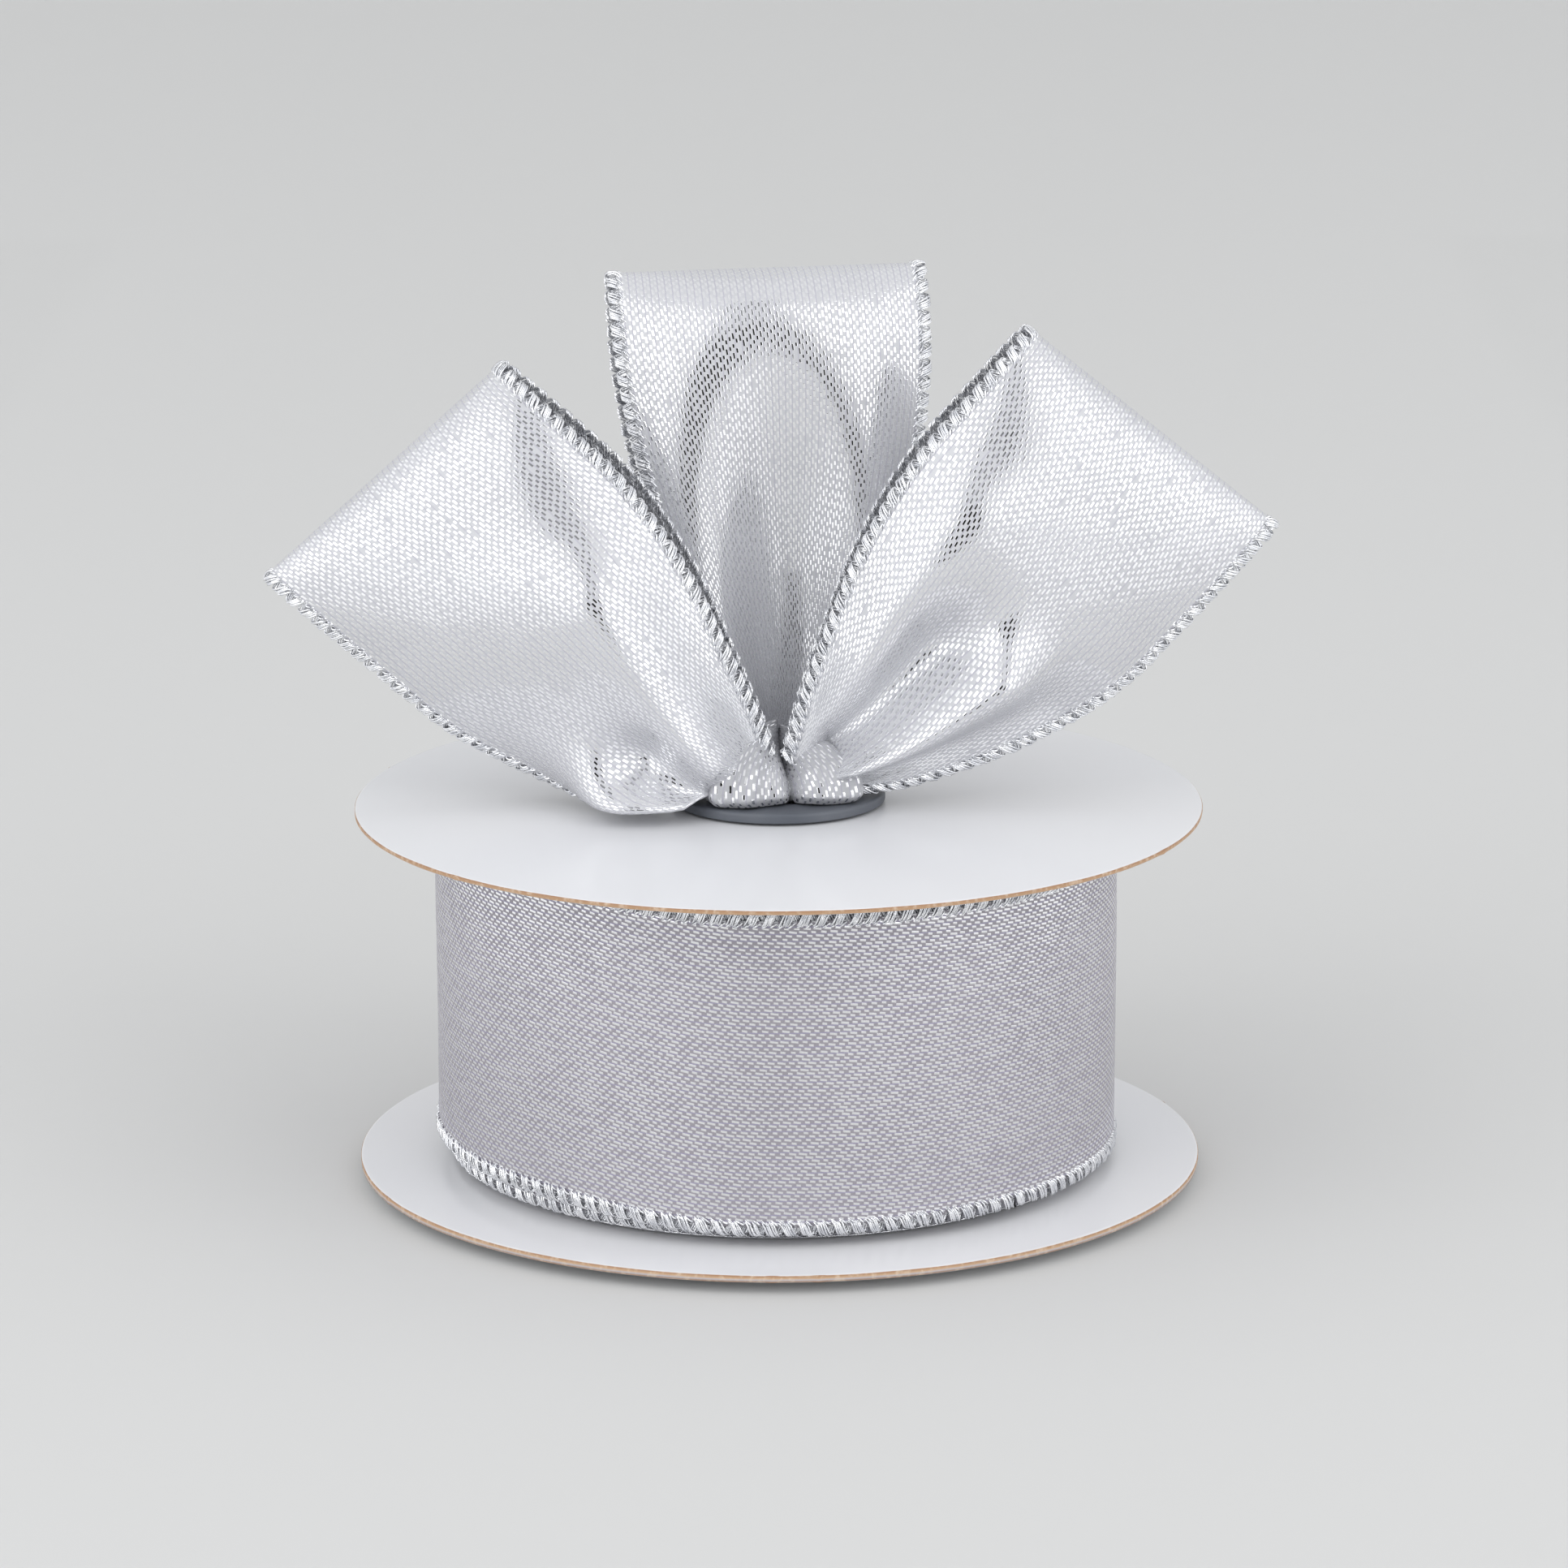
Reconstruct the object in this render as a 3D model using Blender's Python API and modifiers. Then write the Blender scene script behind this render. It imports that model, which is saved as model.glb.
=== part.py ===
"""A spool of wired-edge ribbon with a three-loop display bow, in metres, +Z up.

Two paperboard flanges are held on a plastic core by two hub plugs. The ribbon is wound on the core,
and a bow of three loops stands in the bore of the upper plug, from which it lifts out.
The origin is on the spool's axis, in the plane that the spool stands on.
"""

import math

import bmesh
import bpy
from mathutils import Matrix, Vector

# --- Driving dimensions -------------------------------------------------------------------------

SEAT_GAP = 0.0003  # between pieces that rest on or in each other

FLANGE_DIAMETER = 0.1016
LOWER_BOARD = 0.0009
UPPER_BOARD = 0.0006

RIM_DIAMETER = 0.0256
RIM_THICKNESS = 0.0012
RIM_FILLET = 0.0004
BORE_DIAMETER = 0.015
BARREL_WALL = 0.0015
BARREL_LENGTH = 0.012  # how far a plug reaches into the core, from its board

CORE_DIAMETER = 0.032
CORE_WALL = 0.0013
SLEEVE_WALL = 0.0012
CORE_WEBS = 6
WEB_THICKNESS = 0.0012

RIBBON_WIDTH = 0.0389  # over both stitched edges
FABRIC_THICKNESS = 0.0004
EDGE_RADIUS = 0.0005
ROLL_DIAMETER = 0.0832  # over the outer turn's fabric
ROLL_LIFT = 0.0009  # the outer turns' lower edge above the board
ROLL_TOP_ROOM = 0.0005  # least room between the ribbon and the upper board

TURN_PITCH = 0.00146
OUTER_TURNS = 1.68
TAIL_ANGLE = math.radians(118)  # where the ribbon's outer end lies, at the back
TAIL_RISE = 0.0022  # how much higher the last turn runs, on the left
FRONT_RISE = 0.0005
RISE_FROM = math.radians(266)  # the last turn climbs between these two places, from front to left
RISE_TO = math.radians(222)
SETTLE_FROM = math.radians(200)  # and is level again between these two, counted from its end
SETTLE_TO = math.radians(330)

TAPE_LENGTH = 0.020
TAPE_WIDTH = 0.012
TAPE_THICKNESS = 0.0002
TAPE_LIP = 0.0008  # tape past the ribbon's end before it drops to the turn below

STEM_LENGTH = 0.018  # how deep the gathered ends reach into the bore
STEM_LOBES = 8
STEM_TAPER = 0.0012  # height of the stem's narrowed foot
NECK_RADIUS = 0.0040
NECK_FLUTE = 0.0004
NECK_LENGTH = 0.0022
NECK_DEPTH = 0.0004  # the neck's top below the hub's top
SHOULDER = 0.0014  # height over which the stem narrows to its neck
CROWN_HEIGHT = 0.0007  # the bunch above the hub's top, under the loops
CROWN_PROFILE = ((1.50, 0.25), (1.25, 0.75), (0.60, 1.0))  # shares of neck radius and crown height
TIE_RADIUS = 0.00045
TIE_TAIL = 0.007

LOOP_START = 0.0024  # from the gathering point to where a loop's two layers part
LAYER_HALF_GAP = 0.0009  # half the least distance between a loop's two layers
GATHERED_SHARE = 0.10  # how wide the fabric still is at the gather
LOOP_OPENS = (0.0, 0.20)  # shares of a loop's length over which its layers part
CREST_LIMITS = (0.3, 0.95)
PINCH_POWER = 2.5  # the greater, the nearer its edges a loop is pinched
FOLD_STARTS = (0.03, 0.12)  # shares of a loop's length over which its folds begin
FRONT_TO_BACK = (-0.10, 0.45)  # cosines of the round angle over which they end at the fold
TWIST_GROWTH = (0.0, 0.30)
DRAPE = (0.0005, 0.0040)  # how far outside the hub's rim resting fabric bends down to the board
REST_SOFTNESS = 0.0004  # how gradually fabric comes to rest on the hub

ROUND_STEPS = 72
CORE_STEPS = 48
HUB_STEPS = 40
SOCKET_STEPS = 36
POCKET_STEPS = 6
TURN_POINTS = 32
TIE_STEPS = 24
TAPE_STEPS = 14
LOOP_STEPS = 36
LOOP_COLUMNS = 10
SHARP_CORNER = math.radians(35)

# --- Heights and radii that follow ---------------------------------------------------------------

FLANGE_SPACING = RIBBON_WIDTH + ROLL_LIFT + TAIL_RISE + ROLL_TOP_ROOM
LOWER_BOARD_Z = RIM_THICKNESS + SEAT_GAP
ROLL_FLOOR_Z = LOWER_BOARD_Z + LOWER_BOARD
UPPER_BOARD_Z = ROLL_FLOOR_Z + FLANGE_SPACING
UPPER_RIM_Z = UPPER_BOARD_Z + UPPER_BOARD + SEAT_GAP
HUB_TOP_Z = UPPER_RIM_Z + RIM_THICKNESS

BORE_RADIUS = BORE_DIAMETER / 2
BARREL_RADIUS = BORE_RADIUS + BARREL_WALL
SOCKET_RADIUS = BARREL_RADIUS + SEAT_GAP
SLEEVE_RADIUS = SOCKET_RADIUS + SLEEVE_WALL
CORE_RADIUS = CORE_DIAMETER / 2
OUTER_TURN_RADIUS = (ROLL_DIAMETER - FABRIC_THICKNESS) / 2
INNER_TURN_RADIUS = OUTER_TURN_RADIUS - TURN_PITCH * OUTER_TURNS
FABRIC_WIDTH = RIBBON_WIDTH - 2 * (2 * EDGE_RADIUS + SEAT_GAP)

STEM_RADIUS = BORE_RADIUS - SEAT_GAP
STEM_FLUTE = 2 * TIE_RADIUS + SEAT_GAP  # deep enough for the tie's ends
NECK_FOOT_Z = -NECK_DEPTH - NECK_LENGTH  # from the hub's top, as are all heights of the bow
SHOULDER_Z = NECK_FOOT_Z - SHOULDER

# Each loop: where it is gathered (from the middle of the hub's top), how it leans, and how its fabric
# is folded. Angles in degrees: lean is from upright towards +X, forward is towards the viewer at -Y,
# turn is about the loop's own length, and twist is what the gather adds to it. opened is the share of
# the length at which the fabric has its full width, and pinch how much less a loop opens, each at the
# first and the last edge. skew makes one edge longer, and sag shifts the middle towards one edge.
# crest holds the reach at which a layer stands out most, in the middle, and how that changes with
# the place across and with its square. Each fold is a soft ridge in the front layer, from start to end,
# given as (reach, across). It stands out by out and pulls the fabric aside.
LOOPS = {
    "left": dict(
        root=(-0.0014, -0.0048, 0.0006), lean=-50.1, forward=-6.5, turn=2.0, twist=-20.0, length=0.0596,
        depth=0.0075, opened=(0.60, 0.74), skew=-0.043, sag=0.0002, crest=(0.56, 0.16, 0.10),
        pinch=(0.62, 0.62),
        folds=[
            dict(start=(0.05, 0.12), end=(0.50, 0.45), width=0.27, out=0.0034, aside=0.0005),
            dict(start=(0.09, -0.12), end=(0.22, -0.22), width=0.17, out=-0.0045, aside=0.0),
            dict(start=(0.05, -0.15), end=(0.20, -0.62), width=0.30, out=0.0065, aside=-0.0035),
            dict(start=(0.42, -0.10), end=(0.62, 0.10), width=0.35, out=0.0014, aside=0.0),
        ],
    ),
    "centre": dict(
        root=(0.0013, 0.0044, -0.0012), lean=-2.5, forward=-12.0, turn=6.7, twist=0.0, length=0.0627,
        depth=0.0075, opened=(0.93, 0.93), skew=-0.002, sag=0.0002, crest=(0.88, 0.0, -0.30),
        pinch=(0.45, 0.45),
        folds=[],
    ),
    "right": dict(
        root=(0.0018, -0.0048, 0.0006), lean=44.7, forward=-6.2, turn=0.0, twist=12.0, length=0.0610,
        depth=0.0070, opened=(0.74, 0.65), skew=0.031, sag=0.0003, crest=(0.56, -0.12, 0.18),
        pinch=(0.62, 0.60),
        folds=[
            dict(start=(0.05, 0.10), end=(0.42, 0.32), width=0.20, out=0.0050, aside=0.0010),
            dict(start=(0.10, -0.14), end=(0.40, -0.10), width=0.22, out=-0.0050, aside=0.0),
            dict(start=(0.14, 0.55), end=(0.45, 0.78), width=0.18, out=-0.0025, aside=0.0),
            dict(start=(0.30, -0.62), end=(0.62, -0.60), width=0.25, out=0.0015, aside=0.0),
        ],
    ),
}
EDGE_SIDES = {
    "left": {"upper": 1, "lower": -1},
    "centre": {"left": -1, "right": 1},
    "right": {"upper": -1, "lower": 1},
}


# --- Scene, materials and shared shapes ----------------------------------------------------------

def clear_scene():
    for item in list(bpy.data.objects):
        bpy.data.objects.remove(item, do_unlink=True)


def make_material(name, colour, roughness, metallic=0.0):
    material = bpy.data.materials.new(name)
    material.use_nodes = True
    shader = material.node_tree.nodes["Principled BSDF"]
    shader.inputs["Base Color"].default_value = (*colour, 1.0)
    shader.inputs["Roughness"].default_value = roughness
    shader.inputs["Metallic"].default_value = metallic
    material.diffuse_color = (*colour, 1.0)
    return material


def add_empty(name, location, collection):
    empty = bpy.data.objects.new(name, None)
    empty.location = location
    collection.objects.link(empty)
    return empty


def add_object(name, data, parent, material):
    item = bpy.data.objects.new(name, data)
    data.materials.append(material)
    parent.users_collection[0].objects.link(item)
    item.parent = parent
    return item


def smooth_shaded(item):
    """Apply the item's modifiers and shade it smooth, except at its sharp corners."""
    graph = bpy.context.evaluated_depsgraph_get()
    mesh = bpy.data.meshes.new_from_object(item.evaluated_get(graph))
    item.modifiers.clear()
    item.data = mesh
    mesh.name = item.name
    mesh.shade_smooth()
    mesh.set_sharp_from_angle(angle=SHARP_CORNER)
    return item


def turned(name, outline, steps, parent, material):
    """A ring or disc: outline holds (radius, height) points that run down the outer side."""
    mesh = bpy.data.meshes.new(name)
    count = len(outline)
    edges = [(i, (i + 1) % count) for i in range(count)]
    mesh.from_pydata([(radius, 0, height) for radius, height in outline], edges, [])
    item = add_object(name, mesh, parent, material)
    screw = item.modifiers.new("Turn", "SCREW")
    screw.axis = "Z"
    screw.angle = math.tau
    screw.steps = steps
    screw.render_steps = steps
    screw.use_merge_vertices = True
    screw.merge_threshold = 0.00001
    return smooth_shaded(item)


def sheet(name, rows, thickness, parent, material):
    """A curved sheet through rows of points, thickened equally to both sides."""
    model = bmesh.new()
    grid = [[model.verts.new(point) for point in row] for row in rows]
    for first, second in zip(grid, grid[1:]):
        for i in range(len(first) - 1):
            model.faces.new((first[i], first[i + 1], second[i + 1], second[i]))
    mesh = bpy.data.meshes.new(name)
    model.to_mesh(mesh)
    model.free()
    item = add_object(name, mesh, parent, material)
    wall = item.modifiers.new("Thickness", "SOLIDIFY")
    wall.thickness = thickness
    wall.offset = 0.0
    return smooth_shaded(item)


def tube(name, points, radius, parent, material):
    """A wire or stitched edge that follows the points, with closed ends."""
    curve = bpy.data.curves.new(name, "CURVE")
    curve.dimensions = "3D"
    curve.bevel_depth = radius
    curve.bevel_resolution = 1
    curve.use_fill_caps = True
    line = curve.splines.new("POLY")
    line.points.add(len(points) - 1)
    for place, point in zip(line.points, points):
        place.co = (*point, 1.0)
    return add_object(name, curve, parent, material)


def smooth_step(value, start, end):
    share = min(1.0, max(0.0, (value - start) / (end - start)))
    return share * share * (3 - 2 * share)


def on_circle(radius, angle, height):
    return Vector((radius * math.cos(angle), radius * math.sin(angle), height))


# --- Spool ---------------------------------------------------------------------------------------

def make_flange(name, underside, thickness, parent, material):
    hole = BARREL_RADIUS + SEAT_GAP
    rim = FLANGE_DIAMETER / 2
    top = underside + thickness
    outline = [(hole, top), (rim, top), (rim, underside), (hole, underside)]
    return turned(name, outline, ROUND_STEPS, parent, material)


def make_hub_plug(name, outer_face, inward, board, parent, material):
    """A rim that clamps the board from outside and a barrel that snaps into the core.

    outer_face is the height of the rim's outer face, and inward is +1 or -1, the way to the core.
    """
    rim = RIM_DIAMETER / 2
    reach = RIM_THICKNESS + SEAT_GAP + board + SEAT_GAP + BARREL_LENGTH
    lead = BARREL_WALL / 2
    # From the bore's outer end, round the rim and along the barrel to its inner end.
    profile = [
        (BORE_RADIUS + RIM_FILLET, 0),
        (rim - RIM_FILLET, 0),
        (rim, RIM_FILLET),
        (rim, RIM_THICKNESS),
        (BARREL_RADIUS, RIM_THICKNESS),
        (BARREL_RADIUS, reach - lead),
        (BARREL_RADIUS - lead / 2, reach),
        (BORE_RADIUS, reach),
        (BORE_RADIUS, RIM_FILLET),
    ]
    outline = [(radius, outer_face + inward * depth) for radius, depth in profile]
    if inward > 0:
        outline.reverse()
    return turned(name, outline, HUB_STEPS, parent, material)


def circle_points(radius, count):
    return [(radius * math.cos(a), radius * math.sin(a)) for a in angles(0, math.tau, count)]


def angles(start, end, count):
    return [start + (end - start) * i / count for i in range(count)]


def web_pocket(index):
    """The outline of one hollow of the core, between two webs."""
    inner = SLEEVE_RADIUS
    outer = CORE_RADIUS - CORE_WALL
    start = math.tau * index / CORE_WEBS
    end = math.tau * (index + 1) / CORE_WEBS
    outline = []
    for radius, first, last in ((inner, start, end), (outer, end, start)):
        half_web = math.asin(WEB_THICKNESS / 2 / radius)
        inset = half_web if first < last else -half_web
        for i in range(POCKET_STEPS + 1):
            angle = first + inset + (last - first - 2 * inset) * i / POCKET_STEPS
            outline.append((radius * math.cos(angle), radius * math.sin(angle)))
    return outline


def make_core_drum(parent, material):
    """The moulded core: a winding wall and a socket sleeve, joined by webs."""
    curve = bpy.data.curves.new("core_drum", "CURVE")
    curve.dimensions = "2D"
    curve.fill_mode = "BOTH"
    height = FLANGE_SPACING - 2 * SEAT_GAP
    curve.extrude = height / 2
    outlines = [circle_points(CORE_RADIUS, CORE_STEPS), circle_points(SOCKET_RADIUS, SOCKET_STEPS)]
    outlines += [web_pocket(i) for i in range(CORE_WEBS)]
    for outline in outlines:
        line = curve.splines.new("POLY")
        line.points.add(len(outline) - 1)
        for place, (x, y) in zip(line.points, outline):
            place.co = (x, y, 0.0, 1.0)
        line.use_cyclic_u = True
    drum = add_object("core_drum", curve, parent, material)
    drum.location.z = ROLL_FLOOR_Z + FLANGE_SPACING / 2
    return drum


def make_ribbon_roll(parent, material):
    """The inner turns, as one plain ring under the outer turns."""
    inner = CORE_RADIUS + SEAT_GAP
    outer = INNER_TURN_RADIUS - EDGE_RADIUS - SEAT_GAP
    low = ROLL_FLOOR_Z + SEAT_GAP
    high = low + RIBBON_WIDTH
    outline = [(inner, high), (outer, high), (outer, low), (inner, low)]
    return turned("ribbon_roll", outline, ROUND_STEPS, parent, material)


def turn_rise(angle_from_tail):
    """How far a place on the outer turns is lifted: the last half turn rides up on the left."""
    angle = TAIL_ANGLE + angle_from_tail
    last_lap = 1 - smooth_step(angle_from_tail, SETTLE_FROM, SETTLE_TO)
    left = smooth_step(angle, RISE_FROM, RISE_TO)
    return last_lap * (FRONT_RISE + (TAIL_RISE - FRONT_RISE) * left)


def outer_turn_path():
    """(angle, radius, rise) along the outer turns, from the tail inwards."""
    count = round(TURN_POINTS * OUTER_TURNS)
    path = []
    for i in range(count + 1):
        turned_by = math.tau * OUTER_TURNS * i / count
        radius = OUTER_TURN_RADIUS - TURN_PITCH * turned_by / math.tau
        path.append((TAIL_ANGLE + turned_by, radius, turn_rise(turned_by)))
    return path


def make_outer_turns(parent, fabric, thread):
    """The ribbon's last turns as one unbroken strip, with its two stitched wire edges."""
    path = outer_turn_path()
    base = ROLL_FLOOR_Z + ROLL_LIFT
    low = base + 2 * EDGE_RADIUS + SEAT_GAP
    rows = [
        [on_circle(radius, angle, low + rise), on_circle(radius, angle, low + rise + FABRIC_WIDTH)]
        for angle, radius, rise in path
    ]
    sheet("ribbon_outer_turns", rows, FABRIC_THICKNESS, parent, fabric)
    for name, height in (("lower", base + EDGE_RADIUS), ("upper", base + RIBBON_WIDTH - EDGE_RADIUS)):
        points = [on_circle(radius, angle, height + rise) for angle, radius, rise in path]
        tube(f"roll_{name}_edge", points, EDGE_RADIUS, parent, thread)
    return path


def make_tail_tape(parent, material):
    """A patch of clear tape from the ribbon's outer end onto the turn below it."""
    outer = OUTER_TURN_RADIUS + FABRIC_THICKNESS / 2 + SEAT_GAP + TAPE_THICKNESS / 2
    inner = outer - TURN_PITCH
    half_span = TAPE_LENGTH / 2 / OUTER_TURN_RADIUS
    middle = ROLL_FLOOR_Z + FLANGE_SPACING / 2
    lip = TAPE_LIP / OUTER_TURN_RADIUS
    foot = (half_span + lip) / 2
    rows = []
    for i in range(TAPE_STEPS + 1):
        offset = half_span * (1 - 2 * i / TAPE_STEPS)
        drop = smooth_step(-offset, lip, foot)
        radius = outer - TURN_PITCH * offset / math.tau + (inner - outer) * drop
        angle = TAIL_ANGLE + offset
        rows.append(
            [
                on_circle(radius, angle, middle - TAPE_WIDTH / 2),
                on_circle(radius, angle, middle + TAPE_WIDTH / 2),
            ]
        )
    return sheet("tail_tape", rows, TAPE_THICKNESS, parent, material)


# --- Bow -----------------------------------------------------------------------------------------

def loop_axes(loop):
    """The loop's own directions: across its width, along its length, and out of its front."""
    turn = (
        Matrix.Rotation(math.radians(loop["lean"]), 3, "Y")
        @ Matrix.Rotation(math.radians(loop["forward"]), 3, "X")
        @ Matrix.Rotation(math.radians(loop["turn"]), 3, "Z")
    )
    return turn @ Vector((1, 0, 0)), turn @ Vector((0, 0, 1)), turn @ Vector((0, -1, 0))


def between(pair, across):
    """The value at a place across, from the pair for the two edges."""
    first, last = pair
    return first + (last - first) * (across + 1) / 2


def layer_depth(loop, round_angle, across):
    """How far a layer stands off the loop's middle plane, as a share of its greatest depth."""
    middle, slope, bend = loop["crest"]
    low, high = CREST_LIMITS
    crest = min(high, max(low, middle + slope * across + bend * across * across))
    power = crest**2 / (1 - crest**2)
    peak = math.sqrt(1 / (1 + power)) * (power / (1 + power)) ** (power / 2)
    reach = math.sin(round_angle)
    pinched = 1 - between(loop["pinch"], across) * abs(across) ** PINCH_POWER
    return math.cos(round_angle) * reach**power / peak * smooth_step(reach, *LOOP_OPENS) * pinched


def fold_share(loop, fold, reach, across):
    """1 on a fold's line, falling off softly to both sides."""
    half_width = FABRIC_WIDTH / 2 / loop["length"]  # makes places across and along comparable
    start = Vector((fold["start"][0], fold["start"][1] * half_width))
    line = Vector((fold["end"][0], fold["end"][1] * half_width)) - start
    place = Vector((reach, across * half_width)) - start
    nearest = line * min(1.0, max(0.0, place.dot(line) / line.length_squared))
    return math.exp(-((place - nearest).length / (fold["width"] * half_width)) ** 2 / 2)


def laid_on_hub(point, clearance):
    """The point, raised smoothly where the bow lies on the hub's rim or on the flange."""
    outside_rim = math.hypot(point.x, point.y) - RIM_DIAMETER / 2
    step = HUB_TOP_Z - (UPPER_BOARD_Z + UPPER_BOARD)
    rest = clearance - step * smooth_step(outside_rim, *DRAPE)
    above = (point.z - rest) / REST_SOFTNESS
    far_above = 20
    raised = math.log1p(math.exp(above)) if above < far_above else above
    return Vector((point.x, point.y, rest + REST_SOFTNESS * raised))


def free_point(loop, along, across):
    """A point of the loop: along runs 0 to 1 from gather over the fold to gather, across -1 to 1."""
    across_axis, length_axis, front_axis = loop_axes(loop)
    length = loop["length"] * (1 + loop["skew"] * across)
    start = math.asin(LOOP_START / length)
    round_angle = start + (math.pi - 2 * start) * along
    reach = math.sin(round_angle)
    drawn_in = math.sin(math.pi / 2 * min(1.0, reach / between(loop["opened"], across)))
    aside = across * FABRIC_WIDTH / 2 * (GATHERED_SHARE + (1 - GATHERED_SHARE) * drawn_in)
    aside += loop["sag"] * math.sin(math.pi * reach)
    depth = LAYER_HALF_GAP * math.tanh(4 * math.cos(round_angle))
    depth += loop["depth"] * layer_depth(loop, round_angle, across)
    in_front = smooth_step(math.cos(round_angle), *FRONT_TO_BACK) * smooth_step(reach, *FOLD_STARTS)
    for fold in loop["folds"]:
        share = in_front * fold_share(loop, fold, reach, across)
        depth += fold["out"] * share
        aside += fold["aside"] * share
    twist = math.radians(loop["twist"]) * (1 - reach) * smooth_step(reach, *TWIST_GROWTH)
    aside, depth = (
        aside * math.cos(twist) + depth * math.sin(twist),
        depth * math.cos(twist) - aside * math.sin(twist),
    )
    root = Vector(loop["root"])
    return root + across_axis * aside + length_axis * length * reach + front_axis * depth


def fabric_point(loop, along, across):
    """A point of the loop's fabric, which lies above its stitched edge where both rest on the hub."""
    above_edge = 2 * EDGE_RADIUS + 2 * SEAT_GAP + FABRIC_THICKNESS / 2
    return laid_on_hub(free_point(loop, along, across), above_edge)


def edge_point(loop, along, sign):
    """A point on the middle line of a stitched edge, just past the fabric's own edge."""
    just_inside = 0.98
    fabric_edge = free_point(loop, along, sign)
    outward = (fabric_edge - free_point(loop, along, sign * just_inside)).normalized()
    return laid_on_hub(fabric_edge + outward * (EDGE_RADIUS + SEAT_GAP), EDGE_RADIUS + SEAT_GAP)


def make_loop(side, parent, fabric, thread):
    loop = LOOPS[side]
    rows = []
    for i in range(LOOP_STEPS + 1):
        shares = [-1 + 2 * j / LOOP_COLUMNS for j in range(LOOP_COLUMNS + 1)]
        rows.append([fabric_point(loop, i / LOOP_STEPS, share) for share in shares])
    sheet(f"bow_loop_{side}", rows, FABRIC_THICKNESS, parent, fabric)
    for edge, sign in EDGE_SIDES[side].items():
        points = [edge_point(loop, i / LOOP_STEPS, sign) for i in range(LOOP_STEPS + 1)]
        tube(f"bow_{side}_{edge}_edge", points, EDGE_RADIUS, parent, thread)


def stem_ring(radius, flute, height, count):
    ring = []
    for angle in angles(0, math.tau, count):
        local = radius - flute * (0.5 - 0.5 * math.cos(STEM_LOBES * angle))
        ring.append(on_circle(local, angle, height))
    return ring


def make_stem(parent, material):
    """The gathered ribbon ends: a fluted bunch in the bore, with a neck and a small crown."""
    sections = [
        (STEM_RADIUS - STEM_FLUTE, STEM_FLUTE, -STEM_LENGTH),
        (STEM_RADIUS, STEM_FLUTE, -STEM_LENGTH + STEM_TAPER),
        (STEM_RADIUS, STEM_FLUTE, SHOULDER_Z),
        (NECK_RADIUS, NECK_FLUTE, NECK_FOOT_Z),
        (NECK_RADIUS, NECK_FLUTE, -NECK_DEPTH),
    ]
    for radius_share, height_share in CROWN_PROFILE:
        radius = NECK_RADIUS * radius_share
        sections.append((radius, NECK_FLUTE * radius_share, CROWN_HEIGHT * height_share))
    model = bmesh.new()
    rings = [
        [model.verts.new(point) for point in stem_ring(radius, flute, height, 4 * STEM_LOBES)]
        for radius, flute, height in sections
    ]
    for low, high in zip(rings, rings[1:]):
        for i in range(len(low)):
            j = (i + 1) % len(low)
            model.faces.new((low[i], low[j], high[j], high[i]))
    model.faces.new(list(reversed(rings[0])))
    model.faces.new(rings[-1])
    mesh = bpy.data.meshes.new("bow_stem")
    model.to_mesh(mesh)
    model.free()
    return smooth_shaded(add_object("bow_stem", mesh, parent, material))


def make_tie(parent, material):
    """Covered wire once round the neck, its two ends laid down in the flutes of the stem."""
    ring_radius = NECK_RADIUS + SEAT_GAP + TIE_RADIUS
    tail_radius = STEM_RADIUS - TIE_RADIUS
    height = (NECK_FOOT_Z - NECK_DEPTH) / 2
    start = math.tau / STEM_LOBES / 2
    end = math.tau - start
    points = [on_circle(tail_radius, start, -TIE_TAIL), on_circle(tail_radius, start, SHOULDER_Z)]
    for i in range(TIE_STEPS + 1):
        angle = start + (end - start) * i / TIE_STEPS
        points.append(on_circle(ring_radius, angle, height))
    points += [on_circle(tail_radius, end, SHOULDER_Z), on_circle(tail_radius, end, -TIE_TAIL)]
    return tube("bow_tie", points, TIE_RADIUS, parent, material)


# --- Checks of the winding -----------------------------------------------------------------------

def least_gap(path, radius):
    """The least distance between points of neighbouring turns, less the edge's thickness."""
    points = [on_circle(r, angle, rise) for angle, r, rise in path]
    apart = TURN_POINTS // 2
    nearest = min(
        (points[i] - points[j]).length
        for i in range(len(points))
        for j in range(i + apart, len(points))
    )
    return nearest - 2 * radius


def main():
    clear_scene()
    spool_parts = bpy.data.collections.new("ribbon_spool")
    bpy.context.scene.collection.children.link(spool_parts)
    board = make_material("coated_board", (0.80, 0.80, 0.82), 0.35)
    plastic = make_material("grey_plastic", (0.10, 0.11, 0.13), 0.45)
    fabric = make_material("silver_ribbon", (0.52, 0.53, 0.58), 0.35, 0.6)
    thread = make_material("metallic_thread", (0.70, 0.71, 0.74), 0.25, 0.9)
    clear_tape = make_material("clear_tape", (0.75, 0.75, 0.72), 0.15)
    wire_cover = make_material("covered_wire", (0.65, 0.65, 0.68), 0.5)

    spool = add_empty("spool", (0, 0, 0), spool_parts)
    make_flange("lower_flange", LOWER_BOARD_Z, LOWER_BOARD, spool, board)
    make_flange("upper_flange", UPPER_BOARD_Z, UPPER_BOARD, spool, board)
    make_hub_plug("lower_hub_plug", 0.0, 1, LOWER_BOARD, spool, plastic)
    make_hub_plug("upper_hub_plug", HUB_TOP_Z, -1, UPPER_BOARD, spool, plastic)
    make_core_drum(spool, plastic)
    make_ribbon_roll(spool, fabric)
    path = make_outer_turns(spool, fabric, thread)
    make_tail_tape(spool, clear_tape)

    bow = add_empty("bow", (0, 0, HUB_TOP_Z), spool_parts)
    for side in LOOPS:
        make_loop(side, bow, fabric, thread)
    make_stem(bow, fabric)
    make_tie(bow, wire_cover)
    print(f"least gap between the outer turns' edges: {least_gap(path, EDGE_RADIUS) * 1000:.2f} mm")


main()
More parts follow.
